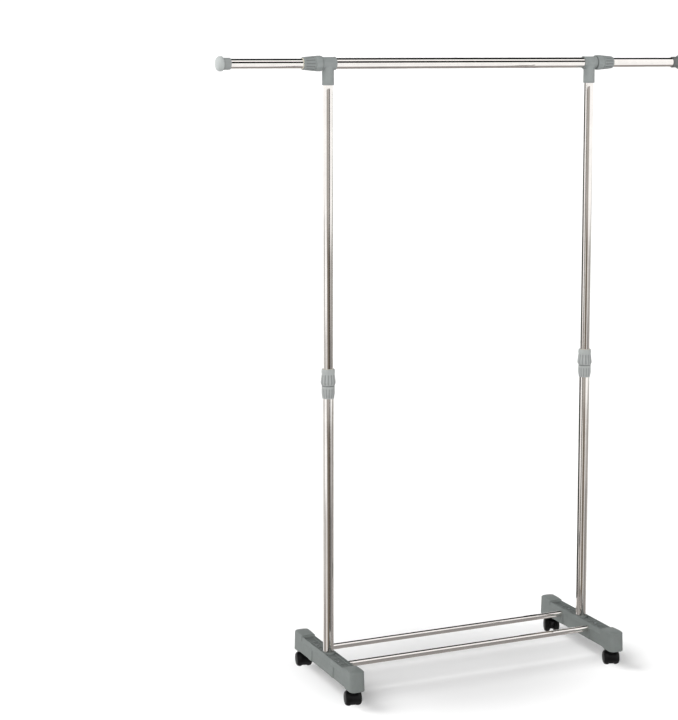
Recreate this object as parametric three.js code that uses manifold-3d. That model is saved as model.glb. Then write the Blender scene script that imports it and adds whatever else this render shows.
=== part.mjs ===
// A rolling clothes rack. Two telescopic posts stand in moulded feet on swivelling twin-wheel casters.
// They carry a top rail with an arm that pulls out of each end, and two rails join the feet.
// Twist nuts with split collets lock the posts and the arms. Units are millimetres. X runs along the
// rack, Y to the back and Z up. The origin is on the floor, midway between the posts.

import * as THREE from 'three';
import { mergeVertices } from 'three/addons/utils/BufferGeometryUtils.js';
import Module from 'manifold-3d';

const wasm = await Module();
wasm.setup();

// ---------------------------------------------------------------- driving sizes
// Overall
const POST_SPACING = 770; // between the two post axes
const RAIL_HEIGHT = 1632; // floor to the top rail's axis, with the posts fully raised
const ARM_REACH = 300; // post axis to the outer end of an arm, as drawn
const LOCK_HEIGHT = 803; // floor to the seam between a post nut and its ferrule

// Tubes
const INNER_TUBE_R = 12.5; // upper posts and arms
const INNER_TUBE_WALL = 1;
const OUTER_TUBE_WALL = 1.1;
const SLIDE_GAP = 0.4; // radial gap between a sliding tube and what it slides in
const OUTER_TUBE_R = INNER_TUBE_R + SLIDE_GAP + OUTER_TUBE_WALL; // lower posts and top rail
const SHOE_RAIL_R = 8;
const SHOE_RAIL_WALL = 0.8;
const SHOE_RAIL_SPREAD = 142; // between the axes of the two lower rails
const POST_OVERLAP = 22; // upper post's end below the lock seam, when fully raised
const ARM_REST_GAP = 195; // rack's middle to an arm's inner end, as drawn

// Fits
const FIT = 0.35; // radial gap of a seated piece
const SEAT = 0.3; // end gap of a seated piece
const SCREW_GAP = 0.4; // radial gap round a screw's shank
const AXLE_GAP = 0.3;
const BUSH_FLANGE = 3; // thickness of the flange that guides a sliding tube
const BUSH_LENGTH = 16;

// Feet
const FOOT_LENGTH = 388;
const FOOT_WIDTH = 42;
const FOOT_CORNER_R = 14;
const FOOT_WALL = 3;
const FOOT_RIM_HEIGHT = 44; // underside to the rims beside the post
const PAD_RISE = 5; // raised ends over the rims
const PAD_LENGTH = 58;
const RECESS_DEPTH = 5;
const RIM_WIDTH = 5;
const FOOT_DRAFT = 1.2; // how much each side leans in over the full height
const RAIL_DROP = 15; // rims down to the lower rails' axes
const BULGE_PROUD = 1.6; // upright bulges on the walls, over the rail sockets
const BULGE_WIDTH = 22;

// Casters
const WHEEL_R = 20;
const WHEEL_WIDTH = 17;
const WHEEL_GAP = 10; // between the two wheels of one caster
const WHEEL_SIDES = 18;
const CASTER_TRAIL = 10; // swivel axis to axle
const CASTER_INSET = 31; // foot's end to the swivel axis
const AXLE_R = 2;
const TYRE_GAP = 1.2; // wheel to the hood's fender
const FENDER_WALL = 2;
const FENDER_WIDTH = 28;
const FENDER_FROM = 35; // where the fender starts and ends, in degrees round the axle
const FENDER_TO = 212;
const WHEEL_FACE = 6; // closed outer face's thickness
const SWIVEL_GAP = 2.6; // hood to the foot
const STEM_R = 5.4; // in the foot
const STEM_PIN_R = 3; // in the hood
const STEM_LENGTH = 32;
const CASTER_BOSS_R = 20;
const CASTER_BOSS_DROP = 4; // round boss below the foot's underside

// Locks on the posts and the arms
const NECK_HEIGHT = 20; // threaded neck above a ferrule
const NECK_WALL = 1.7;
const POST_NUT_HEIGHT = 44;
const FERRULE_HEIGHT = 33;
const ARM_NUT_LENGTH = 51.5;
const NUT_GAP = 0.4; // radial gap between a nut and what it turns on
const FLUTES = 10;
const FLUTE_DEPTH = 1.1;
const COLLET_SLIT = 2.4;
const CONNECTOR_WALL = 2.4;
const CONNECTOR_INNER = 19.7; // stem axis to the connector's inner end
const CONNECTOR_OUTER = 18.6; // stem axis to its outer shoulder
const CONNECTOR_STEM = 55; // rail axis down to the stem's end
const CONNECTOR_NECK = 27; // threaded neck beyond the shoulder
const RAIL_STOP = 3; // wall that the top rail stops against
const LOWER_POST_DROP = 3; // lower post's end below the lock seam

// End caps
const CAP_SLEEVE = 20;
const CAP_FLANGE = 15;
const CAP_WALL = 2.15; // of the sleeve, over the arm
const CAP_LIP = 4; // flange over the sleeve
const CAP_END = 4; // closed end's thickness

// How each caster stands, as the direction in which its wheels trail, in degrees from +X
const CASTERS = [
  { name: 'front_left', side: -1, end: -1, trails: 80 },
  { name: 'front_right', side: 1, end: -1, trails: 72 },
  { name: 'back_left', side: -1, end: 1, trails: 81 },
  { name: 'back_right', side: 1, end: 1, trails: -110 },
];

// ---------------------------------------------------------------- sizes that follow
const ROUND = 20; // sides of a round piece
const SMALL_ROUND = 10; // sides of a pin or a screw
const AXLE_Z = WHEEL_R * Math.cos(Math.PI / WHEEL_SIDES);
const FENDER_IN_R = WHEEL_R + TYRE_GAP;
const FENDER_OUT_R = FENDER_IN_R + FENDER_WALL;
const HOOD_TOP = AXLE_Z + FENDER_OUT_R + SEAT;
const BOSS_BOTTOM = HOOD_TOP + SWIVEL_GAP;
const STEM_PIN_Z = AXLE_Z + 5; // lower end of a stem's pin
const FOOT_BOTTOM = BOSS_BOTTOM + CASTER_BOSS_DROP;
const FOOT_RIM_Z = FOOT_BOTTOM + FOOT_RIM_HEIGHT;
const PAD_Z = FOOT_RIM_Z + PAD_RISE;
const RECESS_Z = FOOT_RIM_Z - RECESS_DEPTH;
const CASTER_Y = FOOT_LENGTH / 2 - CASTER_INSET;
const SHOE_RAIL_Z = FOOT_RIM_Z - RAIL_DROP;
const SHOE_RAIL_Y = SHOE_RAIL_SPREAD / 2;
const POST_SOCKET_Z = FOOT_BOTTOM + 7; // where a lower post stands in its foot
const POST_SOCKET_FLOOR = 3;
const POST_SCREW_R = 3;
const POST_SCREW_HEAD = 3.6;
const POST_SCREW_LENGTH = 18;
const POST_PLUG_HEIGHT = 13;
const RAIL_SCREW_R = 1.5;
const RAIL_SCREW_HEAD = 2.2;
const RAIL_SCREW_LENGTH = 11;
const RAIL_SCREW_X = 4; // foot's middle to a rail screw, away from the rack's middle
const RAIL_END_X = FOOT_WIDTH / 2 - FOOT_WALL - 4; // foot's middle to a rail's end
const NECK_R = INNER_TUBE_R + SLIDE_GAP + NECK_WALL;
const NUT_BORE_R = NECK_R + NUT_GAP;
const NUT_TIP_R = INNER_TUBE_R + 1.5;
const COLLET_TIP_R = NUT_TIP_R - NUT_GAP;
const BARREL_R = OUTER_TUBE_R + FIT + CONNECTOR_WALL;
const CAP_SLEEVE_R = INNER_TUBE_R + FIT + CAP_WALL;
const CAP_FLANGE_R = CAP_SLEEVE_R + CAP_LIP;
const UPPER_POST_TOP = RAIL_HEIGHT - OUTER_TUBE_R - FIT - CONNECTOR_WALL - SEAT;
const UPPER_POST_BOTTOM = LOCK_HEIGHT - POST_OVERLAP;
const LOWER_POST_TOP = LOCK_HEIGHT - LOWER_POST_DROP;

// ---------------------------------------------------------------- helpers
// Keeps only positions, joins shared corners, drops empty triangles and faces the rest outwards.
function tidied(geometry) {
  const bare = geometry.clone();
  bare.deleteAttribute('normal');
  bare.deleteAttribute('uv');
  const merged = mergeVertices(bare, 1e-4);
  const position = merged.attributes.position;
  const corners = [0, 1, 2].map(() => new THREE.Vector3());
  const kept = [];
  let volume = 0;
  for (let first = 0; first < merged.index.count; first += 3) {
    const ids = [0, 1, 2].map((step) => merged.index.getX(first + step));
    if (new Set(ids).size === 3) {
      ids.forEach((id, step) => corners[step].fromBufferAttribute(position, id));
      volume += corners[0].dot(corners[1].clone().cross(corners[2]));
      kept.push(...ids);
    }
  }
  const result = new THREE.BufferGeometry();
  result.setAttribute('position', position);
  result.setIndex(volume < 0 ? kept.reverse() : kept);
  return result;
}

// A three.js geometry as a solid that can be joined and cut.
function solid(geometry) {
  const closed = tidied(geometry);
  const vertProperties = new Float32Array(closed.attributes.position.array);
  const triVerts = new Uint32Array(closed.index.array);
  return new wasm.Manifold(new wasm.Mesh({ numProp: 3, vertProperties, triVerts }));
}

// A solid back as a three.js geometry.
function shaped(manifold) {
  const mesh = manifold.getMesh();
  const geometry = new THREE.BufferGeometry();
  geometry.setAttribute('position', new THREE.BufferAttribute(mesh.vertProperties, 3));
  geometry.setIndex(new THREE.BufferAttribute(mesh.triVerts, 1));
  return tidied(geometry);
}

// A profile of [radius, height] points turned about Z.
function turned(profile, sides = ROUND) {
  const points = profile.map(([radius, height]) => new THREE.Vector2(radius, height));
  return new THREE.LatheGeometry(points, sides).rotateX(Math.PI / 2);
}

// The same with upright flutes: every second corner of the profile's grip rows sits deeper.
function fluted(profile, grip, flutes, depth) {
  const geometry = turned(profile, flutes * 2);
  const position = geometry.attributes.position;
  for (let side = 1; side < flutes * 2; side += 2) {
    for (const row of grip) {
      const index = side * profile.length + row;
      const inward = 1 - depth / Math.hypot(position.getX(index), position.getY(index));
      position.setX(index, position.getX(index) * inward);
      position.setY(index, position.getY(index) * inward);
    }
  }
  return geometry;
}

// An upright round bar, tube and block, and an outline raised from bottom to top.
function rod(radius, bottom, top, sides = ROUND) {
  return turned([[0, bottom], [radius, bottom], [radius, top], [0, top]], sides);
}

function tube(outer, inner, bottom, top, sides = ROUND) {
  return turned([[inner, bottom], [outer, bottom], [outer, top], [inner, top], [inner, bottom]], sides);
}

function block(from, to) {
  const size = to.map((value, axis) => value - from[axis]);
  const middle = to.map((value, axis) => (value + from[axis]) / 2);
  return new THREE.BoxGeometry(...size).translate(...middle);
}

function raised(shape, bottom, top, curveSegments = 4) {
  const options = { depth: top - bottom, bevelEnabled: false, curveSegments };
  return new THREE.ExtrudeGeometry(shape, options).translate(0, 0, bottom);
}

// Z turned onto X, and Z turned onto Y.
const alongX = (geometry) => geometry.rotateY(Math.PI / 2);
const alongY = (geometry) => geometry.rotateX(-Math.PI / 2);

function roundedRectangle(width, length, radius) {
  const shape = new THREE.Shape();
  const x = width / 2 - radius;
  const y = length / 2 - radius;
  shape.absarc(x, -y, radius, -Math.PI / 2, 0);
  shape.absarc(x, y, radius, 0, Math.PI / 2);
  shape.absarc(-x, y, radius, Math.PI / 2, Math.PI);
  shape.absarc(-x, -y, radius, Math.PI, Math.PI * 1.5);
  shape.closePath();
  return shape;
}

const rack = new THREE.Group();

function material(color, roughness, metalness) {
  return new THREE.MeshStandardMaterial({ color, roughness, metalness });
}

const STEEL = material(0xd9d6d2, 0.12, 1);
const ZINC = material(0xa9adb0, 0.35, 1);
const GREY_PLASTIC = material(0x858b89, 0.5, 0);
const PALE_PLASTIC = material(0xb9bcba, 0.4, 0);
const NATURAL_PLASTIC = material(0xd8d4c8, 0.5, 0);
const BLACK_PLASTIC = material(0x1b1c1e, 0.35, 0);

function place(name, geometry, finish, position = [0, 0, 0], turn = 0) {
  const mesh = new THREE.Mesh(tidied(geometry), finish);
  mesh.name = name;
  mesh.position.set(...position);
  mesh.rotation.z = turn;
  rack.add(mesh);
}

// ---------------------------------------------------------------- feet
// The foot's outline raised to a height, leaning in by the draft as it rises.
function footBlock(inset, bottom, top) {
  const outline = roundedRectangle(FOOT_WIDTH - 2 * inset, FOOT_LENGTH - 2 * inset, FOOT_CORNER_R - inset);
  const geometry = raised(outline, bottom, top);
  const position = geometry.attributes.position;
  for (let index = 0; index < position.count; index += 1) {
    const lean = (FOOT_DRAFT * (position.getZ(index) - FOOT_BOTTOM)) / (PAD_Z - FOOT_BOTTOM);
    position.setX(index, position.getX(index) - Math.sign(position.getX(index)) * lean);
    position.setY(index, position.getY(index) - Math.sign(position.getY(index)) * lean);
  }
  return solid(geometry);
}

// An upright bulge on both walls where a rail goes in.
function bulge(y) {
  const outline = roundedRectangle(FOOT_WIDTH + 2 * BULGE_PROUD, BULGE_WIDTH, 4);
  return solid(raised(outline, FOOT_BOTTOM, FOOT_RIM_Z - FOOT_WALL, 2).translate(0, y, 0));
}

// The right foot about its own middle: its rail sockets open towards the left one.
function foot() {
  const half = FOOT_LENGTH / 2;
  const wide = FOOT_WIDTH;
  const postBossR = OUTER_TUBE_R + FIT + FOOT_WALL;
  const socketR = STEM_R + FIT;
  const railBoreR = SHOE_RAIL_R + FIT;
  const overPads = solid(
    block([-wide, -half + PAD_LENGTH, FOOT_RIM_Z], [wide, half - PAD_LENGTH, PAD_Z + 1]),
  );
  const recess = roundedRectangle(wide - 2 * RIM_WIDTH, FOOT_LENGTH - 2 * PAD_LENGTH - 8, 6);
  const platform = rod(postBossR + 2, RECESS_Z - 1, FOOT_RIM_Z - 1);
  let cavity = footBlock(FOOT_WALL, FOOT_BOTTOM - 1, RECESS_Z - FOOT_WALL);
  cavity = cavity.subtract(solid(rod(postBossR, 0, PAD_Z)));
  for (const end of [-1, 1]) {
    const railY = end * SHOE_RAIL_Y;
    const reach = railBoreR + FOOT_WALL;
    cavity = cavity.subtract(solid(block([-wide, railY - reach, 0], [wide, railY + reach, PAD_Z])));
    cavity = cavity.subtract(solid(rod(socketR + FOOT_WALL, 0, PAD_Z).translate(0, end * CASTER_Y, 0)));
  }
  let body = footBlock(0, FOOT_BOTTOM, PAD_Z)
    .subtract(overPads)
    .add(bulge(-SHOE_RAIL_Y))
    .add(bulge(SHOE_RAIL_Y))
    .subtract(solid(raised(recess, RECESS_Z, PAD_Z, 3)))
    .add(solid(platform))
    .subtract(cavity);

  for (const end of [-1, 1]) {
    const casterY = end * CASTER_Y;
    const railY = end * SHOE_RAIL_Y;
    const socketTop = BOSS_BOTTOM + STEM_LENGTH + 2;
    body = body.add(solid(rod(CASTER_BOSS_R, BOSS_BOTTOM, FOOT_BOTTOM + 2).translate(0, casterY, 0)));
    const socket = rod(socketR, BOSS_BOTTOM - 1, socketTop, SMALL_ROUND).translate(0, casterY, 0);
    body = body.subtract(solid(socket));
    const railBore = alongX(rod(railBoreR, -wide, RAIL_END_X + SEAT)).translate(0, railY, SHOE_RAIL_Z);
    body = body.subtract(solid(railBore));
    const screwHole = rod(RAIL_SCREW_R + SCREW_GAP, SHOE_RAIL_Z, PAD_Z, SMALL_ROUND);
    body = body.subtract(solid(screwHole.translate(RAIL_SCREW_X, railY, 0)));
  }

  body = body.subtract(solid(rod(OUTER_TUBE_R + FIT, POST_SOCKET_Z, PAD_Z)));
  body = body.subtract(solid(rod(POST_SCREW_R + SCREW_GAP, 0, PAD_Z, SMALL_ROUND)));
  body = body.subtract(solid(rod(POST_SCREW_R + 5, 0, POST_SOCKET_Z - POST_SOCKET_FLOOR)));
  return shaped(body);
}

function screw(headR, headHeight, shankR, length) {
  return turned([
    [0, 0], [headR, 0], [headR, headHeight],
    [shankR, headHeight], [shankR, length], [0, length],
  ], SMALL_ROUND);
}

// ---------------------------------------------------------------- post pieces
function ferrule() {
  const seat = OUTER_TUBE_R + FIT;
  const inside = INNER_TUBE_R + SLIDE_GAP;
  const outside = seat + 2.9;
  const shoulder = LOWER_POST_TOP - LOCK_HEIGHT + SEAT;
  return fluted([
    [seat, -FERRULE_HEIGHT], [outside - 2.2, -FERRULE_HEIGHT], [outside, -FERRULE_HEIGHT * 0.6],
    [outside, -6], [outside - 0.9, 0], [NECK_R, 0], [NECK_R, NECK_HEIGHT],
    [inside, NECK_HEIGHT], [inside, shoulder], [seat, shoulder], [seat, -FERRULE_HEIGHT],
  ], [2, 3], FLUTES, FLUTE_DEPTH * 0.6);
}

function postNut() {
  return fluted([
    [NUT_BORE_R, SEAT], [NUT_BORE_R + 1.8, SEAT], [NUT_BORE_R + 4.4, 7], [NUT_BORE_R + 4.6, 10],
    [NUT_BORE_R + 1.9, POST_NUT_HEIGHT - 12], [NUT_BORE_R + 0.7, POST_NUT_HEIGHT],
    [NUT_TIP_R, POST_NUT_HEIGHT], [NUT_BORE_R, NECK_HEIGHT], [NUT_BORE_R, SEAT],
  ], [3, 4], FLUTES, FLUTE_DEPTH);
}

function armNut() {
  return fluted([
    [NUT_BORE_R, 0], [NUT_BORE_R + 4.6, 0], [NUT_BORE_R + 4.9, 4], [NUT_BORE_R + 4.9, 18],
    [NUT_BORE_R + 3.2, 19.5], [NUT_BORE_R + 3.9, 21], [NUT_BORE_R + 0.9, ARM_NUT_LENGTH],
    [NUT_TIP_R, ARM_NUT_LENGTH], [NUT_BORE_R, CONNECTOR_NECK - SEAT], [NUT_BORE_R, 0],
  ], [5, 6], FLUTES, FLUTE_DEPTH * 0.7);
}

// A split ring that tapers towards its tip; the nut's cone closes it on the tube.
function collet(length) {
  const inside = INNER_TUBE_R + FIT;
  const profile = [[inside, 0], [NECK_R, 0], [COLLET_TIP_R, length], [inside, length], [inside, 0]];
  const slit = block([0, -COLLET_SLIT / 2, -1], [OUTER_TUBE_R * 2, COLLET_SLIT / 2, length + 1]);
  return shaped(solid(turned(profile)).subtract(solid(slit)));
}

// A plastic plug in a sliding tube's end, with a flange that guides it in the outer tube.
function slideBush() {
  const body = INNER_TUBE_R - INNER_TUBE_WALL - FIT;
  const bore = 4;
  return turned([
    [bore, 0], [INNER_TUBE_R, 0], [INNER_TUBE_R, BUSH_FLANGE],
    [body, BUSH_FLANGE], [body, BUSH_LENGTH], [bore, BUSH_LENGTH], [bore, 0],
  ], 16);
}

// The connector about its own crossing: the rail comes from the left and the arm leaves to the right.
function connector() {
  const neckEnd = CONNECTOR_OUTER + CONNECTOR_NECK;
  const stemR = INNER_TUBE_R + FIT + CONNECTOR_WALL;
  const body = solid(alongX(rod(BARREL_R, -CONNECTOR_INNER, CONNECTOR_OUTER)))
    .add(solid(rod(stemR, -CONNECTOR_STEM, 0)))
    .add(solid(alongX(rod(NECK_R, 0, neckEnd))));
  return shaped(body
    .subtract(solid(alongX(rod(OUTER_TUBE_R + FIT, -CONNECTOR_INNER - 1, CONNECTOR_OUTER - RAIL_STOP))))
    .subtract(solid(alongX(rod(INNER_TUBE_R + SLIDE_GAP, 0, neckEnd + 1))))
    .subtract(solid(rod(INNER_TUBE_R + FIT, -CONNECTOR_STEM - 1, UPPER_POST_TOP + SEAT - RAIL_HEIGHT))));
}

function endCap() {
  const bore = INNER_TUBE_R + FIT;
  const length = CAP_SLEEVE + CAP_FLANGE;
  return turned([
    [0, length - CAP_END], [bore, length - CAP_END], [bore, 0], [CAP_SLEEVE_R, 0], [CAP_SLEEVE_R, CAP_SLEEVE],
    [CAP_FLANGE_R - 1.5, CAP_SLEEVE + 2], [CAP_FLANGE_R, CAP_SLEEVE + 6], [CAP_FLANGE_R - 1, length - 3],
    [CAP_FLANGE_R - 5, length], [0, length],
  ]);
}

// ---------------------------------------------------------------- caster pieces
// About the swivel axis on the floor: the wheels trail along +X and the axle lies along Y.
function casterStem() {
  const top = BOSS_BOTTOM + STEM_LENGTH;
  return turned([
    [0, STEM_PIN_Z], [STEM_PIN_R, STEM_PIN_Z], [STEM_PIN_R, HOOD_TOP + SEAT],
    [STEM_R + 1.6, HOOD_TOP + SEAT], [STEM_R + 1.6, BOSS_BOTTOM - SEAT],
    [STEM_R, BOSS_BOTTOM - SEAT], [STEM_R, top], [0, top],
  ], SMALL_ROUND);
}

// A web between the wheels, and a fender that curves over both treads from the back down to the front.
function casterHood() {
  const web = WHEEL_GAP / 2 - 0.4;
  const start = THREE.MathUtils.degToRad(FENDER_FROM);
  const finish = THREE.MathUtils.degToRad(FENDER_TO);
  const fender = new THREE.Shape();
  fender.absarc(0, 0, FENDER_OUT_R, start, finish, false);
  fender.absarc(0, 0, FENDER_IN_R, finish, start, true);
  const sector = new THREE.Shape();
  sector.moveTo(0, 0);
  sector.absarc(0, 0, FENDER_OUT_R, start, finish, false);
  const across = (shape, halfWidth) => solid(
    raised(shape, -halfWidth, halfWidth, 7).rotateX(Math.PI / 2).translate(CASTER_TRAIL, 0, AXLE_Z),
  );
  const disc = alongY(rod(WHEEL_R - 4, -web, web)).translate(CASTER_TRAIL, 0, AXLE_Z);
  const column = block([-STEM_PIN_R - 4, -web, AXLE_Z], [STEM_PIN_R + 4, web, HOOD_TOP]);
  const pinBore = rod(STEM_PIN_R + FIT, STEM_PIN_Z - SEAT, HOOD_TOP + 1, SMALL_ROUND);
  const axleBore = alongY(rod(AXLE_R + AXLE_GAP, -WHEEL_R, WHEEL_R, SMALL_ROUND))
    .translate(CASTER_TRAIL, 0, AXLE_Z);
  return shaped(across(fender, FENDER_WIDTH / 2)
    .add(across(sector, web))
    .add(solid(disc))
    .add(solid(column))
    .subtract(solid(pinBore))
    .subtract(solid(axleBore)));
}

// One wheel about its axle, growing outwards along Z from the caster's middle. A flat side faces down.
function wheel() {
  const inner = WHEEL_GAP / 2;
  const outer = inner + WHEEL_WIDTH;
  const bore = AXLE_R + AXLE_GAP;
  return turned([
    [0, outer - WHEEL_FACE], [bore, outer - WHEEL_FACE], [bore, inner],
    [WHEEL_R - 1, inner], [WHEEL_R, inner + 1], [WHEEL_R, inner + 9],
    [WHEEL_R - 1.6, outer - 4.5], [WHEEL_R - 6, outer - 1.2], [WHEEL_R - 12, outer], [0, outer],
  ], WHEEL_SIDES).rotateZ(Math.PI / WHEEL_SIDES);
}

function addCaster({ name, side, end, trails }) {
  const at = [side * POST_SPACING / 2, end * CASTER_Y, 0];
  const turn = THREE.MathUtils.degToRad(trails);
  const reach = WHEEL_GAP / 2 + WHEEL_WIDTH - WHEEL_FACE - SEAT;
  place(`${name}_caster_stem`, casterStem(), ZINC, at);
  place(`${name}_caster_hood`, casterHood(), BLACK_PLASTIC, at, turn);
  const axle = alongY(rod(AXLE_R, -reach, reach, SMALL_ROUND)).translate(CASTER_TRAIL, 0, AXLE_Z);
  place(`${name}_caster_axle`, axle, ZINC, at, turn);
  const first = alongY(wheel()).translate(CASTER_TRAIL, 0, AXLE_Z);
  const second = alongY(wheel()).rotateZ(Math.PI).translate(CASTER_TRAIL, 0, AXLE_Z);
  place(`${name}_caster_wheel_1`, first, BLACK_PLASTIC, at, turn);
  place(`${name}_caster_wheel_2`, second, BLACK_PLASTIC, at, turn);
}

// ---------------------------------------------------------------- assembly
// Each side is built about its post's axis, and the left one is the right one turned half round.
function addSide(name, side) {
  const turn = side > 0 ? 0 : Math.PI;
  const x = side * POST_SPACING / 2;
  const inBore = INNER_TUBE_R - INNER_TUBE_WALL;
  const screwBottom = POST_SOCKET_Z - POST_SOCKET_FLOOR - SEAT - POST_SCREW_HEAD;
  place(`${name}_foot`, foot(), GREY_PLASTIC, [x, 0, 0], turn);
  const postScrew = screw(5.5, POST_SCREW_HEAD, POST_SCREW_R, POST_SCREW_LENGTH);
  place(`${name}_post_screw`, postScrew, ZINC, [x, 0, screwBottom]);
  const plugBottom = POST_SOCKET_Z + SEAT;
  const plugTop = POST_SOCKET_Z + POST_PLUG_HEIGHT;
  const plug = tube(INNER_TUBE_R, POST_SCREW_R + SCREW_GAP, plugBottom, plugTop, 16);
  place(`${name}_post_plug`, plug, NATURAL_PLASTIC, [x, 0, 0]);

  const lower = tube(OUTER_TUBE_R, INNER_TUBE_R + SLIDE_GAP, POST_SOCKET_Z + SEAT, LOWER_POST_TOP);
  const upper = tube(INNER_TUBE_R, inBore, UPPER_POST_BOTTOM, UPPER_POST_TOP);
  place(`${name}_lower_post`, lower, STEEL, [x, 0, 0]);
  place(`${name}_upper_post`, upper, STEEL, [x, 0, 0]);
  const bushBottom = UPPER_POST_BOTTOM - BUSH_FLANGE - SEAT;
  place(`${name}_post_bush`, slideBush(), NATURAL_PLASTIC, [x, 0, bushBottom]);
  place(`${name}_post_ferrule`, ferrule(), GREY_PLASTIC, [x, 0, LOCK_HEIGHT]);
  place(`${name}_post_nut`, postNut(), GREY_PLASTIC, [x, 0, LOCK_HEIGHT]);
  const colletBottom = LOCK_HEIGHT + NECK_HEIGHT + SEAT;
  const postCollet = collet(POST_NUT_HEIGHT - NECK_HEIGHT);
  place(`${name}_post_collet`, postCollet, NATURAL_PLASTIC, [x, 0, colletBottom]);

  const rail = [x, 0, RAIL_HEIGHT];
  const armStart = ARM_REST_GAP - POST_SPACING / 2;
  const capStart = ARM_REACH - CAP_SLEEVE - CAP_FLANGE;
  const armColletStart = CONNECTOR_OUTER + CONNECTOR_NECK + SEAT;
  const armColletLength = CONNECTOR_OUTER + ARM_NUT_LENGTH + 2 - armColletStart;
  place(`${name}_connector`, connector(), GREY_PLASTIC, rail, turn);
  const nut = alongX(armNut()).translate(CONNECTOR_OUTER + SEAT, 0, 0);
  place(`${name}_arm_nut`, nut, GREY_PLASTIC, rail, turn);
  const armCollet = alongX(collet(armColletLength)).translate(armColletStart, 0, 0);
  place(`${name}_arm_collet`, armCollet, NATURAL_PLASTIC, rail, turn);
  const arm = alongX(tube(INNER_TUBE_R, inBore, armStart, ARM_REACH - CAP_END - SEAT));
  place(`${name}_arm`, arm, STEEL, rail, turn);
  const armBush = alongX(slideBush()).translate(armStart - BUSH_FLANGE - SEAT, 0, 0);
  place(`${name}_arm_bush`, armBush, NATURAL_PLASTIC, rail, turn);
  place(`${name}_end_cap`, alongX(endCap()).translate(capStart, 0, 0), PALE_PLASTIC, rail, turn);
}

const topRailHalf = POST_SPACING / 2 + CONNECTOR_OUTER - RAIL_STOP - SEAT;
const topRail = alongX(tube(OUTER_TUBE_R, INNER_TUBE_R + SLIDE_GAP, -topRailHalf, topRailHalf));
place('top_rail', topRail, STEEL, [0, 0, RAIL_HEIGHT]);

// A lower rail, with a hole near each end for its screw.
function shoeRail() {
  const half = POST_SPACING / 2 + RAIL_END_X;
  let rail = solid(alongX(tube(SHOE_RAIL_R, SHOE_RAIL_R - SHOE_RAIL_WALL, -half, half)));
  for (const side of [-1, 1]) {
    const hole = rod(RAIL_SCREW_R + 0.4, 0, SHOE_RAIL_R * 2, SMALL_ROUND);
    rail = rail.subtract(solid(hole.translate(side * (POST_SPACING / 2 + RAIL_SCREW_X), 0, 0)));
  }
  return shaped(rail);
}

for (const [row, end] of [['front', -1], ['back', 1]]) {
  place(`${row}_shoe_rail`, shoeRail(), STEEL, [0, end * SHOE_RAIL_Y, SHOE_RAIL_Z]);
  for (const [name, side] of [['left', -1], ['right', 1]]) {
    const x = side * (POST_SPACING / 2 + RAIL_SCREW_X);
    const railScrew = screw(3.2, RAIL_SCREW_HEAD, RAIL_SCREW_R, RAIL_SCREW_LENGTH).rotateX(Math.PI);
    const top = RECESS_Z + SEAT + RAIL_SCREW_HEAD;
    place(`${row}_${name}_rail_screw`, railScrew, ZINC, [x, end * SHOE_RAIL_Y, top]);
  }
}

addSide('left', -1);
addSide('right', 1);
CASTERS.forEach(addCaster);

export default rack;
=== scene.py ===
"""Finished surfaces, materials and studio for a rolling clothes rack with pull-out arms."""

import math

import bpy
import numpy as np
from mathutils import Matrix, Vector


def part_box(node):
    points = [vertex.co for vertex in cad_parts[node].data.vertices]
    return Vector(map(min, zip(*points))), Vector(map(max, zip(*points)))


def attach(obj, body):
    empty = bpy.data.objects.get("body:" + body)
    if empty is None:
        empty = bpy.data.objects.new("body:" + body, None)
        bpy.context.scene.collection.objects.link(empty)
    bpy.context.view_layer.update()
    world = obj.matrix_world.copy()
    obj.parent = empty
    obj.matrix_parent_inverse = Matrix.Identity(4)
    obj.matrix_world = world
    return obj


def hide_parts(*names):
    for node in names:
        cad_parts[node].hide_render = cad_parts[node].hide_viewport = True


bl_info = {
    "name": "Rolling Clothes Rack",
    "version": (1, 0, 0),
    "blender": (4, 5, 0),
    "location": "View3D > Sidebar > Rack",
    "description": "Builds the finished pieces of a telescopic clothes rack around its CAD frame",
    "category": "Object",
}

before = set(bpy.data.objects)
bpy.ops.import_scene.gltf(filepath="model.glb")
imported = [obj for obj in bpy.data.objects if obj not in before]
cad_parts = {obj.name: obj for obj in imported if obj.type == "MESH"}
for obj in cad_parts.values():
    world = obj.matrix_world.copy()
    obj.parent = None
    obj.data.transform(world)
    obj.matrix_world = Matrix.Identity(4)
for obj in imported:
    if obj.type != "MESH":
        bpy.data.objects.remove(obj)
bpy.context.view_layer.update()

# Shapes below are worked out in millimetres and put into meshes in metres.
MM = 0.001
TURN = 2 * math.pi
SIDES = (("left", -1), ("right", 1))
ENDS = (("front", -1), ("back", 1))


def box_mm(node):
    """Lowest and highest corner of a CAD node, in millimetres."""
    low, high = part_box(node)
    return np.array(low) / MM, np.array(high) / MM


def middle(node):
    """Middle of a CAD node's box, in millimetres."""
    low, high = box_mm(node)
    return (low + high) / 2


# Places that the frame gives, and lengths that several pieces share, in millimetres
POST_X = middle("right_lower_post")[0]
RAIL_Z = middle("top_rail")[2]
SEAM_GAP = 0.3
SEAM_Z = box_mm("right_post_nut")[0][2] - SEAM_GAP
SHOE_Y = middle("back_shoe_rail")[1]
FOOT_LOW = box_mm("right_foot")[0]
BOSS_DROP = 4.0
FOOT_BOTTOM = FOOT_LOW[2] + BOSS_DROP
FOOT_RIM = 44.0
RECESS_DEEP = 5.0
POST_SEAT = box_mm("right_lower_post")[0][2] - 0.1
TEE_END = 18.6
NECK_LONG = 27.0

UP = np.eye(3)
# Columns are where a shape's own x, y and z go: z along the rack to the right, or to the left.
TO_RIGHT = np.array([[0, 0, 1], [1, 0, 0], [0, 1, 0]], float)
TO_LEFT = np.array([[0, 0, -1], [-1, 0, 0], [0, 1, 0]], float)
OUTWARD = {"left": TO_LEFT, "right": TO_RIGHT}


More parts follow.
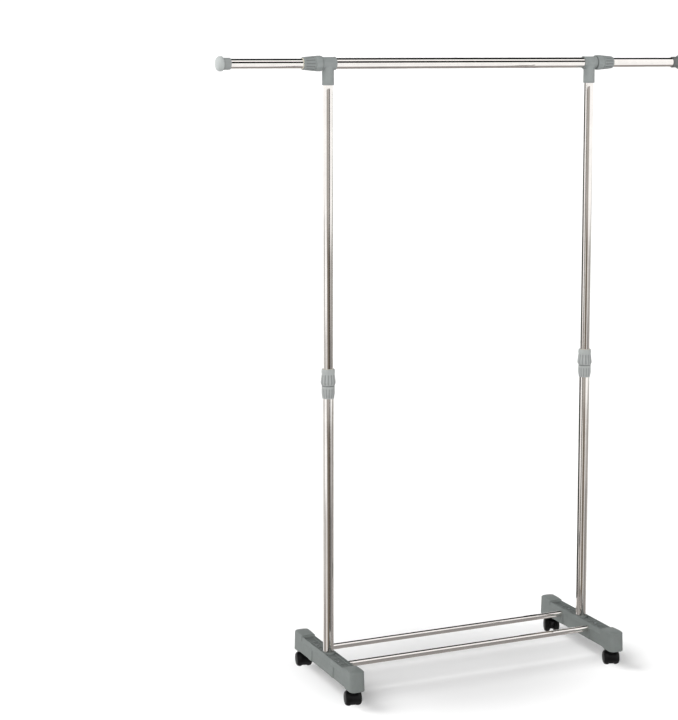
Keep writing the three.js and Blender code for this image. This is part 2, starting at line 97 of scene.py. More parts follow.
def about_z(degrees):
    """Rotation about the upright axis."""
    cosine, sine = math.cos(math.radians(degrees)), math.sin(math.radians(degrees))
    return np.array([[cosine, -sine, 0], [sine, cosine, 0], [0, 0, 1]])


# ---------------------------------------------------------------- settings
def linear(colour):
    """A colour written as sRGB hex, as linear red, green and blue."""
    values = np.array([int(colour[i:i + 2], 16) for i in (1, 3, 5)]) / 255
    low = values / 12.92
    high = ((values + 0.055) / 1.055) ** 2.4
    return tuple(float(v) for v in np.where(values <= 0.04045, low, high))


def length(name, description, default):
    """A length that a user may change, in metres, from a default in millimetres."""
    return bpy.props.FloatProperty(
        name=name, description=description, default=default * MM, min=0.0, precision=5,
        subtype="DISTANCE", unit="LENGTH",
    )


def paint(name, description, default):
    """A colour that a user may change, from a default in sRGB hex."""
    return bpy.props.FloatVectorProperty(
        name=name, description=description, default=linear(default), min=0.0, max=1.0,
        size=3, subtype="COLOR",
    )


class RackSizes(bpy.types.PropertyGroup):
    """Sizes of the fine shapes that the CAD model leaves out."""

    tube_lip: length("Tube lip", "Rounding of a tube's cut end", 0.3)
    foot_edge: length("Foot edge", "Drop of the shoulder round a foot's raised ends", 2.4)
    recess_edge: length("Recess edge", "Width of the slope into a foot's recess", 0.9)
    rib_rise: length("Rib rise", "Height of the cross ribs in a foot's recess", 2.2)
    flute_depth: length("Flute depth", "Depth of the grip flutes on the twist nuts", 1.5)
    bump_rise: length("Bump rise", "Height of the raised marks round a nut's band", 0.55)
    stem_groove: length("Stem groove", "Depth of the grooves on a connector's stem", 0.35)
    flutes: bpy.props.IntProperty(
        name="Flutes", description="Grip flutes round a twist nut", default=13, min=4, max=40)


class RackColours(bpy.types.PropertyGroup):
    """Colours of the finishes."""

    steel: paint("Steel", "Polished stainless tube", "#F6F2EE")
    joint: paint("Joints", "Moulded nuts and ferrules of the posts", "#9A9D9C")
    tee: paint("Tees", "Moulded tees and the nuts of the arms", "#818685")
    foot: paint("Feet", "Moulded feet", "#6A6F6D")
    # Painted light: both end caps are one moulding; the left cap is given a paler grey for the light on
    # it, the right cap a darker grey for its shade
    cap_left: paint("Left cap", "End cap of the left arm", "#A9ADAC")
    cap_right: paint("Right cap", "End cap of the right arm", "#747877")
    insert: paint("Inserts", "Natural nylon collets and bushes", "#CFC9B8")
    caster: paint("Casters", "Caster hoods", "#060607")
    wheel: paint("Wheels", "Caster wheels", "#080808")
    zinc: paint("Fasteners", "Zinc plated screws, stems and axles", "#B9BDC0")
    floor: paint("Floor", "Studio floor", "#FAFAFA")


# ---------------------------------------------------------------- shapes
def soft_line(corners, steps=6, closed=False):
    """A line through corners (x, y, radius), each one rounded.

    A corner P between neighbours A and B becomes (1-s)^2 S + 2s(1-s) P + s^2 E, where S and E lie on
    PA and PB at radius / tan(half the corner's angle) from P."""
    share = np.linspace(0, 1, steps)[:, None]
    parts = []
    for index, (x, y, radius) in enumerate(corners):
        here = np.array((x, y), float)
        at_end = not closed and index in (0, len(corners) - 1)
        if at_end or radius == 0:
            parts.append(here[None])
            continue
        back = np.array(corners[index - 1][:2], float) - here
        ahead = np.array(corners[(index + 1) % len(corners)][:2], float) - here
        back_length, ahead_length = np.linalg.norm(back), np.linalg.norm(ahead)
        back, ahead = back / back_length, ahead / ahead_length
        half = math.acos(float(np.clip(back @ ahead, -1, 1))) / 2
        reach = min(radius / math.tan(half), 0.48 * back_length, 0.48 * ahead_length)
        start, end = here + back * reach, here + ahead * reach
        parts.append((1 - share) ** 2 * start + 2 * share * (1 - share) * here + share ** 2 * end)
    return np.concatenate(parts)


def dense(line, spacing, closed=False):
    """The same line with points added, so that no step is longer than the spacing."""
    ends = np.roll(line, -1, axis=0) if closed else line[1:]
    parts = []
    for start, end in zip(line, ends):
        count = max(1, int(math.ceil(np.linalg.norm(end - start) / spacing)))
        parts.append(start + (end - start) * np.arange(count)[:, None] / count)
    if not closed:
        parts.append(line[-1:])
    return np.concatenate(parts)


def step(value, width):
    """0 well below nought and 1 well above it, with the smooth curve t^2 (3 - 2t) across the width."""
    t = np.clip(value / width + 0.5, 0, 1)
    return t * t * (3 - 2 * t)


def turned(line, sides=96, ripple=None, start=0.0, sweep=TURN):
    """A line of (radius, height) turned about Z: (u, v) -> (r cos u, r sin u, h).

    ripple(u, r, h) gives a new radius, for flutes and bumps."""
    angle = start + np.linspace(0, sweep, sides, endpoint=sweep < TURN)[None, :]
    radius = line[:, :1] + 0 * angle
    height = line[:, 1:] + 0 * angle
    if ripple is not None:
        radius = ripple(angle, radius, height)
    return np.stack([radius * np.cos(angle), radius * np.sin(angle), height], axis=-1)


def shell(grid, loop_rows=False, loop_cols=True, capped=False):
    """Points and four-cornered faces of a grid, joined round its rows or columns.

    A capped grid has each open end column closed by a fan to the column's mean point."""
    rows, cols = grid.shape[:2]
    i = np.arange(rows if loop_rows else rows - 1)[:, None]
    j = np.arange(cols if loop_cols else cols - 1)[None, :]
    below, beside = (i + 1) % rows, (j + 1) % cols
    corners = [i * cols + j, i * cols + beside, below * cols + beside, below * cols + j]
    faces = np.stack([c + 0 * (i + j) for c in corners], axis=-1).reshape(-1, 4)
    points = grid.reshape(-1, 3)
    if capped:
        ring = np.arange(rows)
        after = (ring + 1) % rows
        for col, first, second in ((0, ring, after), (cols - 1, after, ring)):
            hub = np.full(rows, len(points))
            points = np.vstack([points, grid[:, col].mean(axis=0)])
            fan = np.stack([first * cols + col, second * cols + col, hub, hub], axis=-1)
            faces = np.vstack([faces, fan])
    return points, outward(points, faces)


def outward(points, faces):
    """Turns the faces over if the volume they close comes out negative."""
    a, b, c, d = (points[faces[:, k]] for k in range(4))
    volume = (a * np.cross(b, c)).sum() + (a * np.cross(c, d)).sum()
    return faces[:, ::-1] if volume < 0 else faces


def ring_shell(line, sides=96, ripple=None):
    """A ring: a closed line of (radius, height) turned once about Z."""
    return shell(turned(line, sides, ripple), loop_rows=True)


def tube_shell(outer, inner, bottom, top, lip):
    """A round tube with rounded lips: a closed line of (radius, height) turned about Z."""
    line = soft_line([(inner, bottom, lip), (outer, bottom, lip), (outer, top, lip), (inner, top, lip)],
                     5, closed=True)
    return ring_shell(line)


def set_in(shape, axes=UP, origin=(0, 0, 0)):
    """A shape with its points in its own axes and in the rack's: axes times the point, plus origin."""
    points, faces = shape
    return points, points @ axes.T + np.array(origin, float), faces


def make_piece(name, shapes, material, body, nodes=(), sharp=32.0, hollow=None):
    """Puts placed shapes into one mesh, welds points that meet, and ties the piece to its body.

    Points closer than 0.01 mm are joined, and a face that this closes up is dropped. hollow(own points)
    says how deep in a groove a point lies, from 0 to 1, which the finish reads to darken the colour there
    as painted shade."""
    own = np.concatenate([s[0] for s in shapes])
    places = np.concatenate([s[1] for s in shapes])
    offsets = np.cumsum([0] + [len(s[0]) for s in shapes[:-1]])
    faces = np.concatenate([s[2] + offset for s, offset in zip(shapes, offsets)])
    which = np.concatenate([np.full(len(s[0]), k) for k, s in enumerate(shapes)])
    keys = np.column_stack([np.round(places / 0.01), which]).astype(np.int64)
    _, first, where = np.unique(keys, axis=0, return_index=True, return_inverse=True)
    faces = where.reshape(-1)[faces]
    kept = faces != np.roll(faces, 1, axis=1)
    whole = kept.sum(axis=1) > 2
    faces, kept = faces[whole], kept[whole]
    counts = kept.sum(axis=1)
    corners = faces[kept]

    mesh = bpy.data.meshes.new(name)
    mesh.vertices.add(len(first))
    mesh.vertices.foreach_set("co", (places[first] * MM).astype(np.float32).ravel())
    mesh.loops.add(len(corners))
    mesh.loops.foreach_set("vertex_index", corners.astype(np.int32))
    mesh.polygons.add(len(counts))
    mesh.polygons.foreach_set("loop_start", (np.cumsum(counts) - counts).astype(np.int32))
    mesh.update(calc_edges=True)
    mesh.validate()
    attribute = mesh.attributes.new("own_place", "FLOAT_VECTOR", "POINT")
    attribute.data.foreach_set("vector", (own[first] * MM).astype(np.float32).ravel())
    if hollow is not None:
        depth = mesh.attributes.new("hollow", "FLOAT", "POINT")
        depth.data.foreach_set("value", hollow(own[first]).astype(np.float32))
    mesh.shade_smooth()
    mesh.set_sharp_from_angle(angle=math.radians(sharp))
    mesh.materials.append(material)

    piece = bpy.data.objects.new(name, mesh)
    bpy.context.scene.collection.objects.link(piece)
    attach(piece, body)
    if nodes:
        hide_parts(*nodes)
    return piece


# ---------------------------------------------------------------- materials
# Painted shade: the share of the body colour left where a piece is deepest in a flute, seam or recess (a
# cap's sleeve is darkened by it too)
HOLLOW_SHADE = 0.62


def add(tree, kind, values=None, links=None, **settings):
    """Adds a node with its settings, its input values and the sockets that feed it."""
    node = tree.nodes.new(kind)
    for key, value in settings.items():
        setattr(node, key, value)
    for key, value in (values or {}).items():
        node.inputs[key].default_value = value
    for key, socket in (links or {}).items():
        tree.links.new(socket, node.inputs[key])
    return node


def new_material(name):
    """An empty node material, or None and the finished one if it is there already."""
    found = bpy.data.materials.get(name)
    if found:
        return None, found
    material = bpy.data.materials.new(name)
    material.use_nodes = True
    material.node_tree.nodes.clear()
    return material.node_tree, material


def shade(colour, factor):
    """A linear colour made lighter or darker, with alpha."""
    return tuple(min(1.0, c * factor) for c in colour) + (1.0,)


def moulded_plastic(name, colour, rough=(0.42, 0.56), grain=0.7, mottle=0.06, gloss=0.5):
    """Injection moulded polypropylene, nylon or ABS: an even body colour, clouded a little by the flow
    of the melt over some 25 mm, under the fine spark-eroded grain of the mould, which breaks up
    highlights. Where a piece says that it is hollow it is darker: painted shade in flutes, seams and
    recesses, and a darker sleeve on a cap."""
    tree, material = new_material(name)
    if tree is None:
        return material
    place = add(tree, "ShaderNodeTexCoord").outputs["Object"]
    # Clouds of 25 mm; grain of the given size, drawn coarser than the real 0.1 mm so that it shows
    clouds = add(tree, "ShaderNodeTexNoise", {"Scale": 1 / 0.025, "Detail": 3.0, "Roughness": 0.6},
                 {"Vector": place})
    grit = add(tree, "ShaderNodeTexNoise", {"Scale": 1 / (grain * MM), "Detail": 2.0}, {"Vector": place})
    ramp = add(tree, "ShaderNodeValToRGB", None, {"Fac": clouds.outputs["Fac"]})
    ramp.color_ramp.elements[0].position = 0.3
    ramp.color_ramp.elements[0].color = shade(colour, 1 - mottle)
    ramp.color_ramp.elements[1].position = 0.72
    ramp.color_ramp.elements[1].color = shade(colour, 1 + mottle)
    dull = add(tree, "ShaderNodeMapRange", {"From Min": 0.3, "From Max": 0.7,
               "To Min": rough[0], "To Max": rough[1]}, {"Value": grit.outputs["Fac"]})
    bump = add(tree, "ShaderNodeBump", {"Strength": 0.35, "Distance": 0.05 * MM},
               {"Height": grit.outputs["Fac"]})
    # Painted shade: the hollow attribute mixes the colour down toward HOLLOW_SHADE of itself in flutes,
    # seams and recesses
    groove = add(tree, "ShaderNodeAttribute", attribute_name="hollow")
    tone = add(tree, "ShaderNodeMix", {7: shade(colour, HOLLOW_SHADE)},
               {0: groove.outputs["Fac"], 6: ramp.outputs["Color"]}, data_type="RGBA")
    surface = add(tree, "ShaderNodeBsdfPrincipled", {"IOR": 1.49, "Specular IOR Level": gloss}, {
        "Base Color": tone.outputs[2], "Roughness": dull.outputs["Result"],
        "Normal": bump.outputs["Normal"]})
    add(tree, "ShaderNodeOutputMaterial", None, {"Surface": surface.outputs["BSDF"]})
    return material


def polished_stainless(colour):
    """Stainless steel tube, drawn and belt polished: bright mirror bands along the tube, broken by
    hair lines that run lengthwise and by faint cloudy handling marks that dull it in places."""
    tree, material = new_material("stainless_drawn_polished")
    if tree is None:
        return material
    own = add(tree, "ShaderNodeAttribute", attribute_name="own_place").outputs["Vector"]
    # Hair lines 0.5 mm apart and some 60 mm long; handling marks of 40 mm
    stretched = add(tree, "ShaderNodeMapping", {"Scale": (1 / 0.0005, 1 / 0.0005, 1 / 0.06)},
                    {"Vector": own})
    lines = add(tree, "ShaderNodeTexNoise", {"Scale": 1.0, "Detail": 2.0},
                {"Vector": stretched.outputs["Vector"]})
    marks = add(tree, "ShaderNodeTexNoise", {"Scale": 1 / 0.04, "Detail": 4.0, "Roughness": 0.65},
                {"Vector": own})
    hazy = add(tree, "ShaderNodeMapRange", {"From Min": 0.35, "From Max": 0.75,
               "To Min": 0.05, "To Max": 0.11}, {"Value": marks.outputs["Fac"]})
    rough = add(tree, "ShaderNodeMath", {1: 0.02},
                {0: lines.outputs["Fac"], 2: hazy.outputs["Result"]}, operation="MULTIPLY_ADD")
    tint = add(tree, "ShaderNodeValToRGB", None, {"Fac": marks.outputs["Fac"]})
    tint.color_ramp.elements[0].position = 0.3
    tint.color_ramp.elements[0].color = shade(colour, 0.93)
    tint.color_ramp.elements[1].position = 0.7
    tint.color_ramp.elements[1].color = shade(colour, 1.0)
    bump = add(tree, "ShaderNodeBump", {"Strength": 0.12, "Distance": 0.01 * MM},
               {"Height": lines.outputs["Fac"]})
    surface = add(tree, "ShaderNodeBsdfPrincipled", {"Metallic": 1.0}, {
        "Base Color": tint.outputs["Color"], "Roughness": rough.outputs["Value"],
        "Normal": bump.outputs["Normal"]})
    add(tree, "ShaderNodeOutputMaterial", None, {"Surface": surface.outputs["BSDF"]})
    return material


def zinc_plated_steel(colour):
    """Bright zinc plate on mild steel: a pale satin metal with a soft bluish bloom in patches."""
    tree, material = new_material("zinc_plated_steel")
    if tree is None:
        return material
    place = add(tree, "ShaderNodeTexCoord").outputs["Object"]
    # Bloom patches of 3 mm
    bloom = add(tree, "ShaderNodeTexNoise", {"Scale": 1 / 0.003, "Detail": 3.0}, {"Vector": place})
    tint = add(tree, "ShaderNodeValToRGB", None, {"Fac": bloom.outputs["Fac"]})
    tint.color_ramp.elements[0].color = shade(colour, 0.8)
    tint.color_ramp.elements[1].color = shade(colour, 1.1)
    rough = add(tree, "ShaderNodeMapRange", {"To Min": 0.25, "To Max": 0.45},
                {"Value": bloom.outputs["Fac"]})
    surface = add(tree, "ShaderNodeBsdfPrincipled", {"Metallic": 1.0}, {
        "Base Color": tint.outputs["Color"], "Roughness": rough.outputs["Result"]})
    add(tree, "ShaderNodeOutputMaterial", None, {"Surface": surface.outputs["BSDF"]})
    return material


def joint_finish(colours):
    return moulded_plastic("polypropylene_moulded_joint_grey", tuple(colours.joint))


def tee_finish(colours):
    return moulded_plastic("polypropylene_moulded_tee_grey", tuple(colours.tee))


def foot_finish(colours):
    return moulded_plastic("polypropylene_moulded_foot_grey", tuple(colours.foot), (0.5, 0.64))


def insert_finish(colours):
    return moulded_plastic("nylon_natural_moulded", tuple(colours.insert), (0.4, 0.5), 0.5, 0.04)


def caster_finish(colours):
    return moulded_plastic(
        "nylon_black_moulded_satin", tuple(colours.caster), (0.28, 0.4), 0.6, 0.1, 0.2)


def wheel_finish(colours):
    return moulded_plastic(
        "nylon_black_moulded_wheel", tuple(colours.wheel), (0.34, 0.5), 0.8, 0.12, 0.2)


# ---------------------------------------------------------------- tubes
def build_tubes(sizes, colours):
    """Posts, top rail, arms and lower rails, as tubes with rounded lips."""
    steel = polished_stainless(tuple(colours.steel))
    lip = sizes.tube_lip / MM

    def upright(node, body):
        low, high = box_mm(node)
        outer = (high[0] - low[0]) / 2
        wall = 1.0 if "upper" in node else 1.1
        shape = tube_shell(outer, outer - wall, low[2], high[2], lip)
        x, y = middle(node)[:2]
        make_piece(node + "_tube", [set_in(shape, UP, (x, y, 0))], steel, body, [node])

    def level(node, body, wall):
        low, high = box_mm(node)
        outer = (high[2] - low[2]) / 2
        shape = tube_shell(outer, outer - wall, low[0], high[0], lip)
        y, z = middle(node)[1:]
        make_piece(node + "_tube", [set_in(shape, TO_RIGHT, (0, y, z))], steel, body, [node])

    for side, _ in SIDES:
        upright(f"{side}_lower_post", "base")
        upright(f"{side}_upper_post", "upper_frame")
        level(f"{side}_arm", f"{side}_arm_body", 1.0)
    level("top_rail", "upper_frame", 1.1)
    for end, _ in ENDS:
        level(f"{end}_shoe_rail", "base", 0.8)


# ---------------------------------------------------------------- feet
def foot_shell(sizes):
    """A moulded foot about its own middle, hollow underneath.

    Columns run round its plan, a rectangle with rounded corners. Rows run from the ceiling's middle
    line down the inner wall, round the bottom edge, up the outer wall and over the top to the middle
    line again. A row at inset d lies at middle + (outline - middle)(1 - d / half width). The top is
    a height of x and y: rims, raised crowned ends, a recess with cross ribs and long ridges, a ring at
    the post and the post's round socket. Each feature is one smooth step of a distance."""
    wide, long, corner, wall = 21.0, 194.0, 14.0, 3.0
    rim, pad_rise, draft = FOOT_RIM, 5.0, 1.2
    pad_from, recess_long, recess_wide, recess_r = 136.0, 132.0, 16.0, 6.0
    rib_places, rib_half, ridge_x, ridge_half, ridge_rise = (50, 94), 1.3, 10.2, 1.1, 3.4
    rail_y, bulge_half, bulge_proud = SHOE_Y, 11.0, 2.4
    edge, slope, rib = sizes.foot_edge / MM, sizes.recess_edge / MM, sizes.rib_rise / MM
    seat, recess_floor = POST_SEAT - FOOT_BOTTOM, rim - RECESS_DEEP

    straight = long - corner
    near = np.concatenate([
        np.arange(-straight, straight + 1, 2.5),
        *(s * np.linspace(c - w, c + w, n) for s in (-1, 1) for c, w, n in (
            (pad_from, 1.5, 13), (recess_long - 2, 5, 15), (rail_y, 14, 29),
            (rib_places[0], 2.4, 13), (rib_places[1], 2.4, 13), (10, 11, 23))),
    ])
    y_side = np.unique(np.round(near, 2))
    arc = np.linspace(0, math.pi / 2, 14)[1:-1]
    flat = np.array([6.0, 3.0, 0.0, -3.0, -6.0])
    quarter_x, quarter_y = wide - corner + corner * np.cos(arc), straight + corner * np.sin(arc)
    end_x = np.concatenate([quarter_x, flat, -quarter_x[::-1]])
    end_y = np.concatenate([quarter_y, np.full(5, long), quarter_y[::-1]])
    side_x = np.full(len(y_side), wide)
    outline_x = np.concatenate([side_x, end_x, -side_x, -end_x])
    outline_y = np.concatenate([y_side, end_y, y_side[::-1], -end_y])
    spine_y = np.clip(outline_y, -(long - wide), long - wide)

    def plan(inset):
        left = 1 - inset / wide
        return outline_x * left, spine_y + (outline_y - spine_y) * left

    def rim_height(x, y):
        away = np.abs(y)
        toward_post, toward_tip = np.clip((172 - away) / 36, 0, 1), np.clip((away - 176) / 18, 0, 1)
        fall = 1.7 * toward_post ** 2 + 2.2 * toward_tip ** 2
        crown = 0.7 * (x / wide) ** 2
        return rim + step(away - pad_from, 1.0) * (pad_rise - fall - crown)

    def top_height(x, y):
        away = np.abs(y)
        out_x, out_y = np.abs(x) - (recess_wide - recess_r), away - (recess_long - recess_r)
        distance = np.hypot(np.maximum(out_x, 0), np.maximum(out_y, 0))
        distance = distance + np.minimum(np.maximum(out_x, out_y), 0) - recess_r
        ribs = sum(step(rib_half - np.abs(away - place), 0.9) for place in rib_places)
        ridge = step(ridge_half - np.abs(np.abs(x) - ridge_x), 0.9)
        ridge = ridge * step(124 - away, 2) * step(away - 24, 2)
        floor = np.maximum(recess_floor + rib * ribs, recess_floor + ridge_rise * ridge)
        bore = np.hypot(x - 4, away - rail_y)
        floor = floor + 1.2 * (step(6.4 - bore, 0.8) - step(4.4 - bore, 0.8))
        ring = step(19.3 - np.hypot(x, y), 1.0)
        floor = floor * (1 - ring) + (rim - 1) * ring
        inside = step(-distance, slope)
        height = rim_height(x, y) * (1 - inside) + floor * inside
        well = step(14.6 - np.hypot(x, y), 0.25)
        return height * (1 - well) + seat * well

    ends_drop = 3.4 * step(np.abs(outline_y) - 152, 14)
    rows = []

    def row(inset, height, lowered=0.0):
        """Adds a row at a height or a function of x and y; lowered is its share of the ends' drop."""
        x, y = plan(inset)
        z = height(x, y) if callable(height) else height - lowered * ends_drop
        rows.append(np.stack([x, y, z + FOOT_BOTTOM], axis=-1))

    ceiling = recess_floor - wall

    def ceiling_height(x, y):
        """Flat, but sunk round the post's socket, so that 3 mm of wall stays under its seat."""
        return ceiling - (ceiling - seat + wall) * step(16.9 - np.hypot(x, y), 0.35)

    for inset in np.linspace(wide, wall + 1.6, 44):
        row(inset, ceiling_height)
    for height, lowered in ((ceiling - 0.6, 0), (ceiling - 1.6, 0), (ceiling / 2, 0.4), (0.6, 1)):
        row(wall + 0.02 * height, height, lowered)
    for inset, height in ((wall - 0.25, 0.12), (wall - 0.7, 0.0), (0.7, 0.0), (0.25, 0.12), (0.0, 0.6)):
        row(inset, height, 1.0)

    near_rail = step(bulge_half - np.abs(np.abs(outline_y) - rail_y), 2.2)
    shoulder = edge + 10 * (1 - step(np.abs(outline_y) - pad_from, 3))
    wall_top = rim_height(*plan(edge + draft)) - shoulder
    for share in np.concatenate([np.linspace(0.04, 0.82, 8), np.linspace(0.85, 1.0, 7)]):
        height = (wall_top + ends_drop) * share - ends_drop
        proud = bulge_proud * near_rail * (1 - step(height - (rim - 13.5), 2.6))
        row(draft * height / (rim + pad_rise) - proud, height)
    for share in (0.04, 0.1, 0.25, 0.4, 0.55, 0.7, 0.84, 0.93, 1.0):
        row(draft + (edge + 0.08 * (shoulder - edge)) * share,
            lambda x, y: rim_height(x, y) - shoulder * (1 - share) ** 1.25)
    insets = np.concatenate([np.linspace(4.0, 6.2, 12), np.linspace(7, 8.6, 4),
                             np.linspace(8.9, 12.6, 14), np.linspace(13.2, wide, 14)])
    for inset in insets:
        row(inset, top_height)
    return shell(np.stack(rows))


def prism(outline, bottom, top):
    """A closed outline raised from bottom to top, with its ends closed."""
    grid = np.stack([np.column_stack([outline, np.full(len(outline), z)]) for z in (bottom, top)], axis=1)
    return shell(grid, loop_rows=True, loop_cols=False, capped=True)


def recess_painted_shade(own):
    """How deep in a foot's top recess a point lies, as 0.8 of its share of the depth to the power 1.5;
    the finish darkens the recess by it as painted shade.
    """
    x, y, z = own.T
    below = (FOOT_BOTTOM + FOOT_RIM - z) / RECESS_DEEP
    inside = (np.abs(x) < 16.6) & (np.abs(y) < 132.6) & (np.hypot(x, y) > 19.4)
    return inside * (below < 1.15) * 0.8 * np.clip(below, 0, 1) ** 1.5


def build_feet(sizes, colours):
    """Two moulded feet with their sockets, and a collar where each post comes out."""
    grey = foot_finish(colours)
    body = foot_shell(sizes)
    low = FOOT_BOTTOM
    under = low + 37.5
    caster_y = middle("back_right_caster_stem")[1]
    screw_well = soft_line([
        (8.2, low + 0.6, 0.4), (17.3, low + 0.6, 0.6), (17.3, under, 0), (14.3, under, 0),
        (14.3, POST_SEAT, 0), (3.5, POST_SEAT, 0), (3.5, low + 4, 0), (8.2, low + 4, 0)], closed=True)
    boss = soft_line([(5.8, low - BOSS_DROP, 0.4), (20, low - BOSS_DROP, 1.6), (20, low + 1.5, 0.5),
                      (9, low + 1.5, 1.5), (8.8, under, 0), (5.8, under, 0)], closed=True)
    collar_top = low + FOOT_RIM + 0.6
    collar = soft_line([(14.4, low + 42, 0.2), (17.2, low + 42, 0.3), (16.6, collar_top, 0.7),
                        (14.4, collar_top, 0.3)], closed=True)
    block = soft_line([(-18, -11.3, 1.5), (18, -11.3, 1.5), (18, 11.3, 1.5), (-18, 11.3, 1.5)],
                      closed=True)
    parts = [(body, (0, 0, 0)), (ring_shell(screw_well), (0, 0, 0)), (ring_shell(collar), (0, 0, 0))]
    for way in (-1, 1):
        parts.append((ring_shell(boss), (0, way * caster_y, 0)))
        parts.append((prism(block, low + 16, under), (0, way * SHOE_Y, 0)))
    for side, way in SIDES:
        axes = about_z(0 if way > 0 else 180)
        shapes = [set_in(shape, axes, axes @ np.array(at) + np.array((way * POST_X, 0, 0)))
                  for shape, at in parts]
        # The foot's top recess gets painted shade, darker with its depth
        make_piece(f"{side}_foot_moulding", shapes, grey, "base", [f"{side}_foot"], 38,
                   recess_painted_shade)


# ---------------------------------------------------------------- connectors
def stem_shell(sizes, barrel_r, stem_r, bore, bottom):
    """A connector's downward stem, with a hollow curve where it meets the barrel along X.

    A row of that curve has radius stem + f (1 - cos a) and follows the barrel's underside
    z = -sqrt(barrel^2 - y^2), lowered by f (1 - sin a). The rows below are rings whose radius loses
    the groove's depth times (0.5 + 0.5 cos(20 u))^3, then a rounded lower lip and the bore."""
    angle = np.linspace(0, TURN, 144, endpoint=False)
    hollow, lip, bore_top, grooves = 2.4, 1.6, -13, 20
    groove = sizes.stem_groove / MM
    rows = []

    def ring(radius, height, grooved=0.0):
        r = radius - grooved * groove * (0.5 + 0.5 * np.cos(grooves * angle)) ** 3
        rows.append(np.stack([r * np.cos(angle), r * np.sin(angle), height + 0 * angle], axis=-1))

    for k, a in enumerate(np.linspace(math.pi / 2, 0, 9)):
        radius = stem_r + hollow * (1 - math.cos(a))
        y = np.clip(radius * np.sin(angle), -0.985 * barrel_r, 0.985 * barrel_r)
        saddle = -np.sqrt(barrel_r ** 2 - y ** 2)
        sunk = 1.2 if k == 0 else 0.0
        height = saddle - hollow * (1 - math.sin(a)) + sunk
        rows.append(np.stack([radius * np.cos(angle), y, height], axis=-1))
    for height, grooved in ((-20, 0.0), (-21.5, 0.5), (-23, 1.0), (-48, 1.0), (-50, 0.5), (-51, 0.0)):
        ring(stem_r, height, grooved)
    for a in np.linspace(0, math.pi / 2, 6):
        ring(stem_r - lip * (1 - math.cos(a)), bottom + lip * (1 - math.sin(a)))
    ring(bore + 0.3, bottom)
    ring(bore, bottom + 0.3)
    ring(bore, bore_top)
    return shell(np.stack(rows), loop_rows=True)


def build_connectors(sizes, colours):
    """The tee at the head of each post, with the threaded neck that its arm nut turns on."""
    grey = tee_finish(colours)
    barrel_r = 16.75
    neck_end = TEE_END + NECK_LONG
    line = soft_line([
        (14.35, -19.7, 0.4), (barrel_r, -19.7, 1.4), (barrel_r, TEE_END, 1.4), (14.5, TEE_END, 0.3),
        (14.5, neck_end, 0.5), (12.95, neck_end, 0.3), (12.95, 15.6, 0), (14.35, 15.6, 0)], closed=True)

    def bead(angle, radius, height):
        """A raised bead round each end of the barrel, inside its greatest radius."""
        outer = step(radius - 15.6, 0.2)
        between = step(height + 15.6, 0.8) * step(14.4 - height, 0.8)
        return radius - 0.45 * outer * between

    barrel = ring_shell(dense(line, 0.5, True), 112, bead)
    stem = stem_shell(sizes, barrel_r - 0.45, 15.25, 12.9, -55.0)
    for side, way in SIDES:
        at = (way * POST_X, 0, RAIL_Z)
        shapes = [set_in(barrel, OUTWARD[side], at), set_in(stem, about_z(0 if way > 0 else 180), at)]
        make_piece(f"{side}_tee_connector", shapes, grey, "upper_frame", [f"{side}_connector"])


# ---------------------------------------------------------------- locks
def collet_shell(length_mm):
    """A split ring that tapers to its tip: its line is turned through all but the slit, and capped."""
    line = soft_line([(12.85, 0, 0.2), (14.5, 0, 0.3), (13.6, length_mm, 0.3), (12.85, length_mm, 0.2)],
                     4, closed=True)
    slit_width, mean_r = 2.4, 13.5
    slit = slit_width / mean_r
    return shell(turned(line, 96, None, slit / 2, TURN - slit), loop_rows=True, loop_cols=False,
                 capped=True)


def flute_wave(count, angle):
    """The section of a ring of flutes: 1 in the middle of each flute, as (0.5 + 0.5 cos(n u))^1.6."""
    return (0.5 + 0.5 * np.cos(count * angle)) ** 1.6


def groove_painted_shade(count, low, high):
    """How deep in a flute a point lies: the flutes' wave, faded at both heights.

    The seam at height 0, where a nut meets its collar, counts as deeper than any flute. The finish
    darkens flutes and seam by it as painted shade."""
    def depth(own):
        x, y, height = own.T
        wave = flute_wave(count, np.arctan2(y, x)) * step(height - low, 3) * step(high - height, 3)
        seam = step(1.3 - np.abs(height), 0.6)
        return (np.hypot(x, y) > 14.8) * np.maximum(wave, 1.4 * seam)
    return depth


